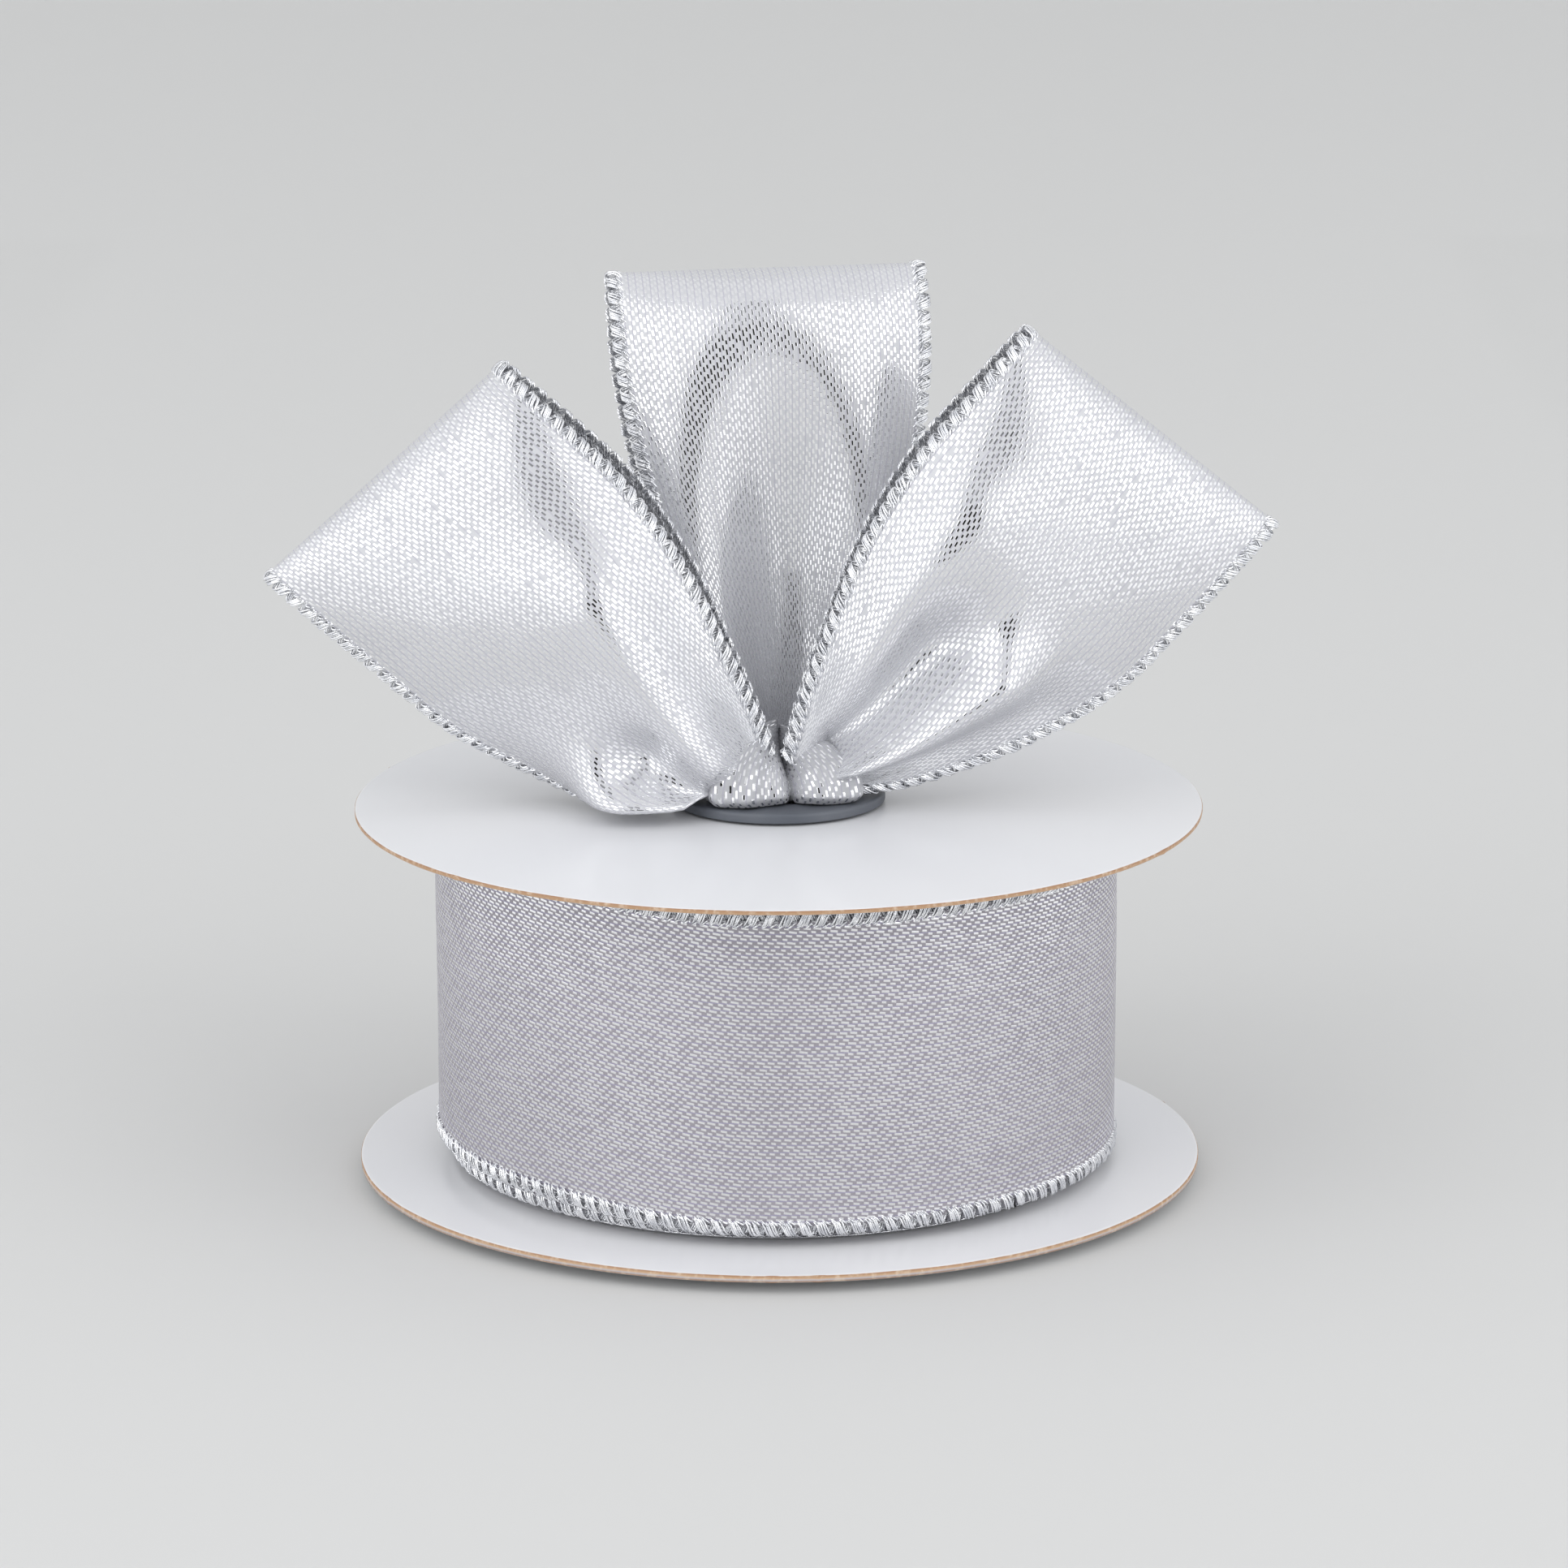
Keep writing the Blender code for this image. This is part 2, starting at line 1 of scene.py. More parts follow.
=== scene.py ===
# %% [markdown]
# # A spool of wired ribbon with a display bow
#
# The CAD model gives the size and the place of every piece. This script gives them their looks:
# woven metallic ribbon, stitched wire edges, coated paperboard and a moulded hub. It starts by
# loading the CAD model as a fixed frame.

# %% Load the frame
import math

import bmesh
import bpy
import numpy as np
from mathutils import Matrix, Vector


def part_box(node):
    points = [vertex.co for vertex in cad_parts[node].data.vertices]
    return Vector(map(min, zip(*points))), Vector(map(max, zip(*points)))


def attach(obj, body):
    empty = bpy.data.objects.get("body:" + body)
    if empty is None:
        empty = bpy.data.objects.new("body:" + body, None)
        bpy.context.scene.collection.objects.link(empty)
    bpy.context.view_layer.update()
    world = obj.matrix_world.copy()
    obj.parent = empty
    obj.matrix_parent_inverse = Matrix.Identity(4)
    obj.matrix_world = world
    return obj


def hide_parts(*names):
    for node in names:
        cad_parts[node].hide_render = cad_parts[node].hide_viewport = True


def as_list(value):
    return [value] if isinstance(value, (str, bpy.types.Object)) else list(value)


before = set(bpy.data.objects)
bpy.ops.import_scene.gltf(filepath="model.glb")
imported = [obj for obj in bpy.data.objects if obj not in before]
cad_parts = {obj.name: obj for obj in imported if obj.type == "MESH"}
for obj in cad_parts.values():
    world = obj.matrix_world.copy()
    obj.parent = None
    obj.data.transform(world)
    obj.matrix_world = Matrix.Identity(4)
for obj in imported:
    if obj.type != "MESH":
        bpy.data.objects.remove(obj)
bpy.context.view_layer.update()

MM = 0.001

# %% [markdown]
# The camera stands where the photograph was taken from: 0.76 m in front of the spool's axis and
# looking 14 degrees down, with a long lens, so the flanges' ellipses have the right shape. A camera
# without a turn looks straight down. Three turns lift its view to the pitch, swing it round by the
# yaw and roll it about its own axis, and each of the three stays readable as a number.

# %% The camera
CAMERA_PLACE = Vector((0.0, -0.7603, 0.2371))
CAMERA_PITCH = math.radians(14.0)
CAMERA_YAW = math.radians(0.05)
CAMERA_ROLL = math.radians(-0.17)
CAMERA_LENS = 150.04  # millimetres
SENSOR_WIDTH = 36.0  # millimetres

camera_turn = (
    Matrix.Rotation(-CAMERA_YAW, 4, "Z")
    @ Matrix.Rotation(math.radians(90) - CAMERA_PITCH, 4, "X")
    @ Matrix.Rotation(CAMERA_ROLL, 4, "Z")
)
camera_data = bpy.data.cameras.new("camera")
camera_data.lens = CAMERA_LENS
camera_data.sensor_width = SENSOR_WIDTH
camera = bpy.data.objects.new("camera", camera_data)
camera.matrix_world = Matrix.Translation(CAMERA_PLACE) @ camera_turn
bpy.context.scene.collection.objects.link(camera)
bpy.context.scene.camera = camera
print(f"camera {CAMERA_PLACE.length:.3f} m from the spool's foot")

# %% [markdown]
# Materials and Geometry Nodes are both trees of small steps, and a long list of nodes and links
# is hard to read. Two small classes make a tree look like the sum that it is. `Tree.add` adds a
# node and feeds its inputs, in order or by name. What comes out of it is a `Signal`, and
# arithmetic with signals adds the math nodes that work it out.

# %% Trees and signals
class Tree:
    """A node tree that nodes are added to in one line each."""

    def __init__(self, tree):
        self.tree = tree

    def feed(self, node, *values, **named):
        """Give a node its inputs, in order or by name. A signal is linked, other values are set."""
        by_name = [(label.replace("_", " "), value) for label, value in named.items()]
        for place, value in [*enumerate(values), *by_name]:
            socket = node.inputs[place]
            if isinstance(value, Signal):
                self.tree.links.new(value.socket, socket)
            elif value is not None:
                socket.default_value = (*value, 1.0) if socket.type == "RGBA" else value

    def add(self, kind, *values, out=0, **named):
        """Add a node. Names with a capital are its inputs, and the others are its settings."""
        node = self.tree.nodes.new(kind)
        for label in [label for label in named if label[0].islower()]:
            setattr(node, label, named.pop(label))
        self.feed(node, *values, **named)
        return Signal(self, node.outputs[out])

    def place(self):
        """Object coordinates, in metres."""
        return self.add("ShaderNodeTexCoord", out="Object")

    def noise(self, place, scale, **settings):
        """A noise texture, with scale lumps to each unit of place."""
        return self.add("ShaderNodeTexNoise", place, Scale=scale, **settings)

    def surface(self, bumps=None, depth=0.0, strength=1.0, **inputs):
        """Feed the material's Principled shader. bumps is a height for its normal."""
        if bumps:
            bump = dict(Height=bumps, Distance=depth, Strength=strength)
            inputs["Normal"] = self.add("ShaderNodeBump", **bump)
        self.feed(self.tree.nodes["Principled BSDF"], **inputs)

    def finish(self, *signals):
        """End a group with its outputs, and return it."""
        self.feed(self.tree.nodes.new("NodeGroupOutput"), *signals)
        return self.tree


class Signal:
    """What comes out of a node. Arithmetic with signals adds math nodes."""

    def __init__(self, tree, socket):
        self.tree, self.socket = tree, socket

    def also(self, out):
        """Another output of the same node."""
        return Signal(self.tree, self.socket.node.outputs[out])

    def __add__(self, other):
        return calc("ADD", self, other)

    def __sub__(self, other):
        return calc("SUBTRACT", self, other)

    def __rsub__(self, other):
        return calc("SUBTRACT", other, self)

    def __mul__(self, other):
        return calc("MULTIPLY", self, other)

    def __truediv__(self, other):
        return calc("DIVIDE", self, other)


def calc(operation, *values):
    """One math node, of signals and numbers."""
    tree = next(value.tree for value in values if isinstance(value, Signal))
    return tree.add("ShaderNodeMath", *values, operation=operation)


print("tree helpers ready")

# %% Steps that many trees take
NOISE_RANGE = (0.3, 0.7)  # where nearly all values of a noise lie
NOISE_MIDDLE = (0.35, 0.65)
SOCKET_KINDS = {int: "Int", float: "Float"}


def split(vector):
    """The three parts of a vector or a colour."""
    first = vector.tree.add("ShaderNodeSeparateXYZ", vector)
    return first, first.also(1), first.also(2)


def ramp(value, low, high, *reach):
    """A smooth rise from 0 to 1, or over reach, while value goes from low to high."""
    smooth = dict(interpolation_type="SMOOTHSTEP")
    return value.tree.add("ShaderNodeMapRange", value, low, high, *reach, **smooth)


def blend(share, first, second):
    """From the first colour to the second, as share goes from 0 to 1."""
    unused = [None] * 5  # the node's inputs for numbers and vectors
    colours = dict(data_type="RGBA", out=2)
    return share.tree.add("ShaderNodeMix", share, *unused, first, second, **colours)


def new_material(name):
    material = bpy.data.materials.new(name)
    material.use_nodes = True
    return material, Tree(material.node_tree)


def new_group(kind, name, inputs, outputs):
    """A node group and its inputs, each given by its value or by the kind of its socket."""
    group = bpy.data.node_groups.new(name, kind)
    for way, sockets in (("INPUT", inputs), ("OUTPUT", outputs)):
        for label, value in sockets.items():
            holds = value if isinstance(value, str) else SOCKET_KINDS[type(value)]
            socket = group.interface.new_socket(label, in_out=way, socket_type="NodeSocket" + holds)
            if not isinstance(value, str):
                socket.default_value = value
    tree = Tree(group)
    start = group.nodes.new("NodeGroupInput")
    return tree, [Signal(tree, socket) for socket in start.outputs[: len(inputs)]]


print("steps ready")

# %% [markdown]
# Product photographs of metallic ribbon are taken in a tent of white cloth: the foil mirrors
# whatever stands around it, so it has to see something bright nearly everywhere. The tent's sides
# are its brightest part, its roof is duller, and two soft lamps to the left and right give the
# object its soft shadows.

# %% The studio's paper and tent
FLOOR_COLOUR = (0.645, 0.645, 0.637)
# the wall's paler colour is painted light, to brighten the back of the paper
WALL_PAINTED_LIGHT_COLOUR = (0.76, 0.76, 0.75)
FLOOR_SIZE = 6.0
SWEEP_START = 1.1  # how far behind the spool the floor begins to curve up
SWEEP_RADIUS = 0.9
SWEEP_STEPS = 24
TENT_COLOUR = (0.97, 0.98, 1.0)
SIDE_LEVEL = 1.06
ROOF_LEVEL = 0.84
ROOF_STARTS = (0.62, 0.85)  # sines of the elevation between which the sides pass into the roof


def add_object(name, mesh, *materials):
    """Link a mesh as an object at the origin, with its materials."""
    item = bpy.data.objects.new(name, mesh)
    for material in materials:
        mesh.materials.append(material)
    bpy.context.scene.collection.objects.link(item)
    return item


def smooth_mesh(name, points, faces=(), edges=()):
    mesh = bpy.data.meshes.new(name)
    mesh.from_pydata(np.reshape(points, (-1, 3)).tolist(), edges, faces)
    mesh.shade_smooth()
    return mesh


def make_paper():
    """Seamless paper, painted paler as it rises to the back: painted light that makes up for the
    lamps' falloff.
    """
    material, tree = new_material("backdrop_paper")
    _, _, height = split(tree.place())
    # painted light: the paper turns paler with height
    painted_light_share = tree.add("ShaderNodeMapRange", height, 0.0, SWEEP_RADIUS)
    tree.surface(Base_Color=blend(painted_light_share, FLOOR_COLOUR, WALL_PAINTED_LIGHT_COLOUR), Roughness=0.9)
    return material


def make_backdrop():
    """Floor and back wall in one sweep, as a strip of paper hangs in a studio."""
    half = FLOOR_SIZE / 2
    outline = [(-half, 0.0), (SWEEP_START, 0.0)]
    for i in range(1, SWEEP_STEPS + 1):
        angle = math.pi / 2 * i / SWEEP_STEPS
        back = SWEEP_START + SWEEP_RADIUS * math.sin(angle)
        outline.append((back, SWEEP_RADIUS * (1 - math.cos(angle))))
    outline.append((SWEEP_START + SWEEP_RADIUS, half))
    points = [(x, y, z) for y, z in outline for x in (-half, half)]
    faces = [(2 * i, 2 * i + 1, 2 * i + 3, 2 * i + 2) for i in range(len(outline) - 1)]
    return add_object("backdrop", smooth_mesh("backdrop", points, faces), make_paper())


def make_tent():
    """A world with bright sides and a duller roof."""
    world = bpy.data.worlds.new("tent")
    world.use_nodes = True
    tree = Tree(world.node_tree)
    _, _, up = split(tree.add("ShaderNodeTexCoord", out="Generated"))
    level = ramp(up, *ROOF_STARTS, SIDE_LEVEL, ROOF_LEVEL)
    tree.feed(world.node_tree.nodes["Background"], TENT_COLOUR, level)
    return world


bpy.context.scene.world = make_tent()
bpy.context.scene.view_settings.view_transform = "Standard"
print("paper", FLOOR_SIZE, "m wide")

# %% [markdown]
# In front of the spool, the tent is open for the camera: a grey strip stands there, and a black
# disc for the lens, so foil that faces the camera turns grey and then black, as the flecks on the
# bow do. White cards lie on the table at both sides, out of the picture, for the loops' lower
# halves to mirror. The camera sees none of these, only the foil does.

# %% The studio's cards and lamps
LAMPS = {  # place, size and power
    "lamp_left": ((-0.85, -0.75, 0.62), 1.15, 4.5),
    "lamp_right": ((0.85, -0.75, 0.62), 1.15, 4.2),
}
LAMP_TARGET = Vector((0.0, 0.0, 0.05))
LENS_CARD = 0.25  # radius
LENS_DISTANCE = 0.05  # behind the camera
LENS_COLOUR = (0.01, 0.01, 0.01)
GAP_WIDTH = 0.52
GAP_HEIGHT = 1.9
GAP_DISTANCE = 0.22  # behind the camera
GAP_FOOT = 0.01
GAP_COLOUR = (0.33, 0.335, 0.35)
TABLE_CARDS = (0.15, 1.2, -0.9, 0.7)  # nearest and farthest from the middle, front and back
TABLE_CARD_HEIGHT = 0.002
TABLE_CARD_COLOUR = (0.92, 0.92, 0.92)


def unseen_card(name, colour, matrix, disc=False):
    """A card that only reflections see: a square of side 1, or a disc, laid out by a matrix."""
    model = bmesh.new()
    if disc:
        bmesh.ops.create_circle(model, cap_ends=True, segments=48, radius=1.0)
    else:
        bmesh.ops.create_grid(model, x_segments=1, y_segments=1, size=0.5)
    model.transform(matrix)
    mesh = bpy.data.meshes.new(name)
    model.to_mesh(mesh)
    model.free()
    material, tree = new_material(name + "_cloth")
    tree.surface(Base_Color=colour, Roughness=1.0)
    card = add_object(name, mesh, material)
    card.visible_camera = card.visible_shadow = card.visible_diffuse = False
    return card


def make_lens_card():
    """The dark round of the lens and the camera behind it, for the foil to mirror."""
    toward = (LAMP_TARGET - CAMERA_PLACE).normalized()
    turn = toward.to_track_quat("Z", "Y").to_matrix().to_4x4()
    place = Matrix.Translation(CAMERA_PLACE - LENS_DISTANCE * toward)
    laid_out = place @ turn @ Matrix.Scale(LENS_CARD, 4)
    return unseen_card("lens_card", LENS_COLOUR, laid_out, disc=True)


def make_gap_card():
    """The grey strip of room that shows where the tent is open for the camera."""
    place = (0, CAMERA_PLACE.y - GAP_DISTANCE, GAP_HEIGHT / 2 + GAP_FOOT)
    upright = Matrix.Translation(place) @ Matrix.Rotation(math.radians(-90), 4, "X")
    size = Matrix.Diagonal((GAP_WIDTH, GAP_HEIGHT, 1, 1))
    return unseen_card("gap_card", GAP_COLOUR, upright @ size)


def make_table_card(name, side):
    """White card on the table, to the left or the right of what the camera sees."""
    near, far, front, back = TABLE_CARDS
    place = (side * (near + far) / 2, (front + back) / 2, TABLE_CARD_HEIGHT)
    size = Matrix.Diagonal((far - near, back - front, 1, 1))
    return unseen_card(name, TABLE_CARD_COLOUR, Matrix.Translation(place) @ size)


make_backdrop()
make_lens_card()
make_gap_card()
make_table_card("table_card_left", -1)
make_table_card("table_card_right", 1)
for name, (place, size, power) in LAMPS.items():
    lamp = bpy.data.objects.new(name, bpy.data.lights.new(name, "AREA"))
    lamp.data.size = size
    lamp.data.energy = power
    lamp.location = place
    lamp.rotation_euler = (LAMP_TARGET - Vector(place)).to_track_quat("-Z", "Y").to_euler()
    bpy.context.scene.collection.objects.link(lamp)
print("studio:", ", ".join(LAMPS))

# %% [markdown]
# ## The weave
#
# The ribbon is woven of satin lilac-grey yarn and of flat metal foil. The foil runs along the
# ribbon and dips under the yarn, so it shows as short bright dashes of uneven length, in rows
# that lie in pairs with a fine line between the pairs. The pattern is drawn from the ribbon's own
# UV map, which holds millimetres along and across, so that the dashes follow every fold at their
# true size. Each dash lies at a small tilt of its own, and that makes the cloth sparkle. It is a
# node group, because the roll, the loops and the gathered ends all use it.

# %% The weave as a node group
ROW_PITCH = 0.42  # millimetres across the ribbon
DASH_PITCH = 1.18  # millimetres along it, for a dash and the gap after it
DASH_HALF = (0.21, 0.38)  # shares of the pitch: half of the shortest dash and of the longest
DASH_END = 0.05  # share of the pitch over which a dash fades, on each side of its end
DASH_BAND = (0.40, 0.22)  # shares of the row: outside a dash's side, and inside it
ROW_SHIFT = 0.618  # share of the pitch by which each row is shifted from the last
ROW_JITTER = 0.2  # share of the pitch that is added by chance where the cloth lies loose
DASH_SLANT = 0.34
MISSING = 0.015  # share of the dashes that stay under the yarn where the cloth lies loose
PAIR_LINE = (0.37, 0.45)  # shares of a pair of rows between which its dark line begins


def make_weave_group():
    tree, (place, cover, looseness) = new_group(
        "ShaderNodeTree",
        "foil weave",
        {"Along and across": "Vector", "Cover": 1.0, "Looseness": 1.0},
        {"Foil": "Float", "Row line": "Float", "Height": "Float", "Random": "Float"},
    )
    along, across, _ = split(place)
    rows = across / ROW_PITCH
    row = calc("FLOOR", rows)
    in_row = calc("FRACT", rows) - 0.5
    chance = tree.add("ShaderNodeTexWhiteNoise", None, row, noise_dimensions="1D")
    turns = along / DASH_PITCH + (row * ROW_SHIFT + chance * (looseness * ROW_JITTER))
    in_dash = calc("FRACT", turns) - 0.5
    dash = tree.add("ShaderNodeCombineXYZ", calc("FLOOR", turns), row)
    random = tree.add("ShaderNodeTexWhiteNoise", dash, noise_dimensions="2D")
    first, second, third = split(random.also("Color"))
    half = ramp(first, 0.0, 1.0, *DASH_HALF) * cover
    length = ramp(calc("ABSOLUTE", in_dash) - half, DASH_END, -DASH_END)
    side = calc("ABSOLUTE", in_row + in_dash * DASH_SLANT)
    shown = calc("GREATER_THAN", second, looseness * MISSING)
    foil = length * ramp(side, *DASH_BAND) * shown
    in_pair = calc("FRACT", across / (2 * ROW_PITCH)) - 0.5
    line = ramp(calc("ABSOLUTE", in_pair), *PAIR_LINE)
    crown = 1.0 - side * side * 4.0
    tilt = (third - 0.5) * in_row + (first - 0.5) * in_dash
    return tree.finish(foil, line, foil * (crown * 0.5 + tilt), random)


weave_group = make_weave_group()
print("weave: rows of", ROW_PITCH, "mm, dashes every", DASH_PITCH, "mm")

# %% [markdown]
# One material is made of the weave for the whole ribbon. Where the foil shows it is a mirror:
# metallic, nearly white and smooth. The yarn between is a satin of its own, lilac-grey and a
# little metallic, so it follows the light too, but duller. A slow noise over the ribbon keeps the
# tone from being dead even. The wound ribbon is drawn tight, so its rows lie even, and its yarn is
# painted darker as painted shade; in the gather, darker yarn and less foil are painted shade too.

# %% The ribbon's material
YARN_COLOUR = (0.60, 0.605, 0.63)
# painted shade: the wound and the gathered yarn colours are darker copies of the yarn colour
WOUND_YARN_SHADED_COLOUR = (0.345, 0.325, 0.36)
GATHERED_YARN_SHADED_COLOUR = (0.48, 0.485, 0.505)
YARN_DARKER = 0.94  # share of the yarn's tone where the slow noise is lowest
YARN_METALLIC = 0.25
YARN_ROUGHNESS = 0.55
LINE_COLOUR = (0.33, 0.31, 0.42)
FOIL_COLOUR = (0.90, 0.905, 0.915)
FOIL_ROUGHNESS = (0.04, 0.12)
FOIL_DEPTH = 0.05 * MM
TONE_LUMPS = 0.08  # to the millimetre


def make_ribbon_material(name, yarn=YARN_COLOUR, line_strength=0.35, cover=1.0, looseness=1.0):
    material, tree = new_material(name)
    place = tree.add("ShaderNodeUVMap", uv_map="along_across")
    foil = tree.add("ShaderNodeGroup", place, cover, looseness, node_tree=weave_group)
    line, height, random = (foil.also(out) for out in ("Row line", "Height", "Random"))
    tone = tree.noise(place, TONE_LUMPS, noise_dimensions="2D")
    darker = [YARN_DARKER * part for part in yarn]
    lined = blend(line * line_strength, blend(ramp(tone, *NOISE_RANGE), darker, yarn), LINE_COLOUR)
    foil_roughness = ramp(random, 0.0, 1.0, *FOIL_ROUGHNESS)
    tree.surface(
        Base_Color=blend(foil, lined, FOIL_COLOUR),
        Metallic=ramp(foil, 0.0, 1.0, YARN_METALLIC, 1.0),
        Roughness=tree.add("ShaderNodeMix", foil, None, YARN_ROUGHNESS, foil_roughness),
        bumps=height, depth=FOIL_DEPTH, strength=0.4,
    )
    return material


ribbon_material = make_ribbon_material("silver_ribbon", cover=0.88)
# the roll's darker yarn is painted shade
shaded_roll_material = make_ribbon_material(
    "silver_ribbon_wound_shaded", WOUND_YARN_SHADED_COLOUR, line_strength=1.0, cover=1.05, looseness=0.0
)
# the gather's darker yarn and lower foil cover are painted shade
shaded_gather_material = make_ribbon_material("silver_ribbon_gathered_shaded", GATHERED_YARN_SHADED_COLOUR, cover=0.62)
print("ribbon materials ready")

# %% [markdown]
# The edge thread is twisted metal film. It is a mirror too, but crumpled, so it glitters in hard
# bright and dark points: a fine noise in the normal does that, at about a tenth of a millimetre.

# %% The thread's material
THREAD_COLOURS = (0.74, 0.75, 0.78), (0.96, 0.965, 0.98)
THREAD_ROUGHNESS = (0.10, 0.28)
CRUMPLES = (5200.0, 900.0)  # lumps to the metre, fine and coarse


def make_thread_material():
    material, tree = new_material("metallic_thread")
    fine, coarse = (tree.noise(tree.place(), lumps) for lumps in CRUMPLES)
    tree.surface(
        Metallic=1.0,
        Base_Color=blend(ramp(coarse, *NOISE_MIDDLE), *THREAD_COLOURS),
        Roughness=ramp(fine, *NOISE_RANGE, *THREAD_ROUGHNESS),
        bumps=fine, depth=0.05 * MM, strength=0.8,
    )
    return material


thread_material = make_thread_material()
print("thread material ready")

# %% [markdown]
# ## The flanges
#
# Each flange is a disc cut from laminated board: white coated paper outside, brown board between,
# which shows only at the cut edge. The die leaves a few tiny nicks where the disc was held in its
# sheet. The disc is a profile turned round the axis, with its cut edge softened, so that the rim
# catches the light.

# %% A turned profile
SHARP_FROM = math.radians(50)


def belongs(piece, body, node):
    """Say what a piece moves with, and hide the CAD node that it stands for."""
    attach(piece, body)
    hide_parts(node)


def round_points(radius, angle, height):
    return np.stack([radius * np.cos(angle), radius * np.sin(angle), height + 0 * angle], axis=-1)


def grid_faces(rows, columns, closed=False):
    """Faces over rows of points. A closed grid joins its last row and column to the first."""
    spans = (rows, columns) if closed else (rows - 1, columns - 1)
    faces = []
    for i, k in np.ndindex(*spans):
        here, there, beside = i * columns, (i + 1) % rows * columns, (k + 1) % columns
        faces.append((here + k, here + beside, there + beside, there + k))
    return faces


def turned(name, profile, steps, material, bulge=None):
    """Turn (radius, height) points, which run down the outer side, into a closed ring."""
    angles = np.arange(steps) * math.tau / steps
    points = np.zeros((steps, len(profile), 3))
    for place, (radius, height) in enumerate(profile):
        reach = radius + (bulge(angles, radius) if bulge else 0.0)
        points[:, place] = round_points(reach, angles, height)
    mesh = smooth_mesh(name, points, grid_faces(steps, len(profile), closed=True))
    mesh.set_sharp_from_angle(angle=SHARP_FROM)
    return add_object(name, mesh, material)


print("profiles can be turned")

# %% The board's material
FLANGE_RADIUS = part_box("lower_flange")[1].x
CUT_EDGE = (FLANGE_RADIUS - 0.12 * MM, FLANGE_RADIUS - 0.06 * MM)  # the coat ends between these
COAT_COLOURS = (0.755, 0.76, 0.78), (0.78, 0.78, 0.795)
COAT_ROUGHNESS = 0.42
CUT_ROUGHNESS = 0.9
FRAYED_COLOUR = (0.75, 0.62, 0.48)
BROWN_PLY = (0.36, 0.20, 0.11)
TAN_PLY = (0.55, 0.36, 0.22)
GREY_PLY = (0.52, 0.49, 0.50)
FIBRES, WAVES, CLOUDS = 1400.0, 60.0, 14.0  # lumps to the metre


def make_board_material(name, low, high, plies):
    """Coated board from height low to high. plies are the colours at the cut edge, from below."""
    material, tree = new_material(name)
    place = tree.place()
    x, y, z = split(place)
    edge = ramp(calc("SQRT", x * x + y * y), *CUT_EDGE)
    layers = tree.add("ShaderNodeValToRGB", ramp(z, low, high))
    stops = layers.socket.node.color_ramp.elements
    while len(stops) < len(plies):
        stops.new(0.5)
    for at, (stop, colour) in enumerate(zip(stops, plies)):
        stop.position = at / (len(plies) - 1)
        stop.color = (*colour, 1.0)
    fibre = ramp(tree.noise(place, FIBRES, Detail=3.0), 0.45, 0.75, 0.0, 0.5)
    coat = blend(ramp(tree.noise(place, CLOUDS), *NOISE_MIDDLE), *COAT_COLOURS)
    tree.surface(
        Base_Color=blend(edge, coat, blend(fibre, layers, FRAYED_COLOUR)),
        Roughness=ramp(edge, 0.0, 1.0, COAT_ROUGHNESS, CUT_ROUGHNESS),
        Coat_Weight=0.3, Coat_Roughness=0.16, Specular_IOR_Level=0.35,
        bumps=tree.noise(place, WAVES, Detail=4.0), depth=0.06 * MM, strength=0.25,
    )
    return material


print("board's plies ready")

# %% The flanges
TURN_STEPS = 720
RIM_SOFTNESS = 0.10 * MM
RIM_CORNER = ((4.0, 0.0), (1.0, 0.3), (0.0, 1.3))  # softnesses in from the edge, and from the face
HOLE_INSIDE_HUB = 3.3 * MM  # how far the hub's rim covers the board round the hole
NICK_WIDTH = 0.45 * MM
NICK_DEPTH = 0.14 * MM
RIM_WAVE = 0.02 * MM
RIM_WAVES = (23, 7)
UPPER_NICKS = (-137.0, -28.0, 74.0, 160.0)
LOWER_NICKS = (-156.0, -91.0, -85.0, 20.0, 118.0)


def make_flange(node, nicks, plies):
    low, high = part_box(node)
    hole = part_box("upper_hub_plug")[1].x - HOLE_INSIDE_HUB
    soft = RIM_SOFTNESS
    profile = [(FLANGE_RADIUS - back * soft, high.z - down * soft) for back, down in RIM_CORNER]
    profile += [(FLANGE_RADIUS - back * soft, low.z + up * soft) for back, up in RIM_CORNER[::-1]]
    profile = [(hole, high.z), *profile, (hole, low.z)]

    def cut_edge(angles, radius):
        """The nicks and a faint unevenness, on the rim alone."""
        if radius < FLANGE_RADIUS - 2 * soft:
            return 0.0
        bulge = np.zeros_like(angles)
        for nick in nicks:
            away = np.mod(angles - math.radians(nick) + math.pi, math.tau) - math.pi
            bulge += NICK_DEPTH * np.exp(-((away * FLANGE_RADIUS / NICK_WIDTH) ** 2))
        waves = np.sin(RIM_WAVES[0] * angles) * np.sin(RIM_WAVES[1] * angles + 1)
        return bulge - RIM_WAVE * (1 + waves)

    board = make_board_material(node + "_board", low.z, high.z, plies)
    piece = turned(node + "_disc", profile, TURN_STEPS, board, cut_edge)
    belongs(piece, "spool", node)


make_flange("lower_flange", LOWER_NICKS, [BROWN_PLY, GREY_PLY, TAN_PLY, BROWN_PLY])
make_flange("upper_flange", UPPER_NICKS, [TAN_PLY, BROWN_PLY])
print("flanges", FLANGE_RADIUS / MM * 2, "mm across")

# %% [markdown]
# ## The hub
#
# The hub is two moulded plugs that snap into a core. A moulded part has no sharp corner, so the
# plug's profile has rounded ones, and its material a fine satin grain from the mould with a slow
# cloud of wear over it.

# %% The hub's plastic
HUB_COLOURS = (0.085, 0.095, 0.115), (0.115, 0.125, 0.145)
HUB_ROUGHNESS = (0.38, 0.52)
MOULD_GRAIN, WEAR = 2600.0, 120.0  # lumps to the metre


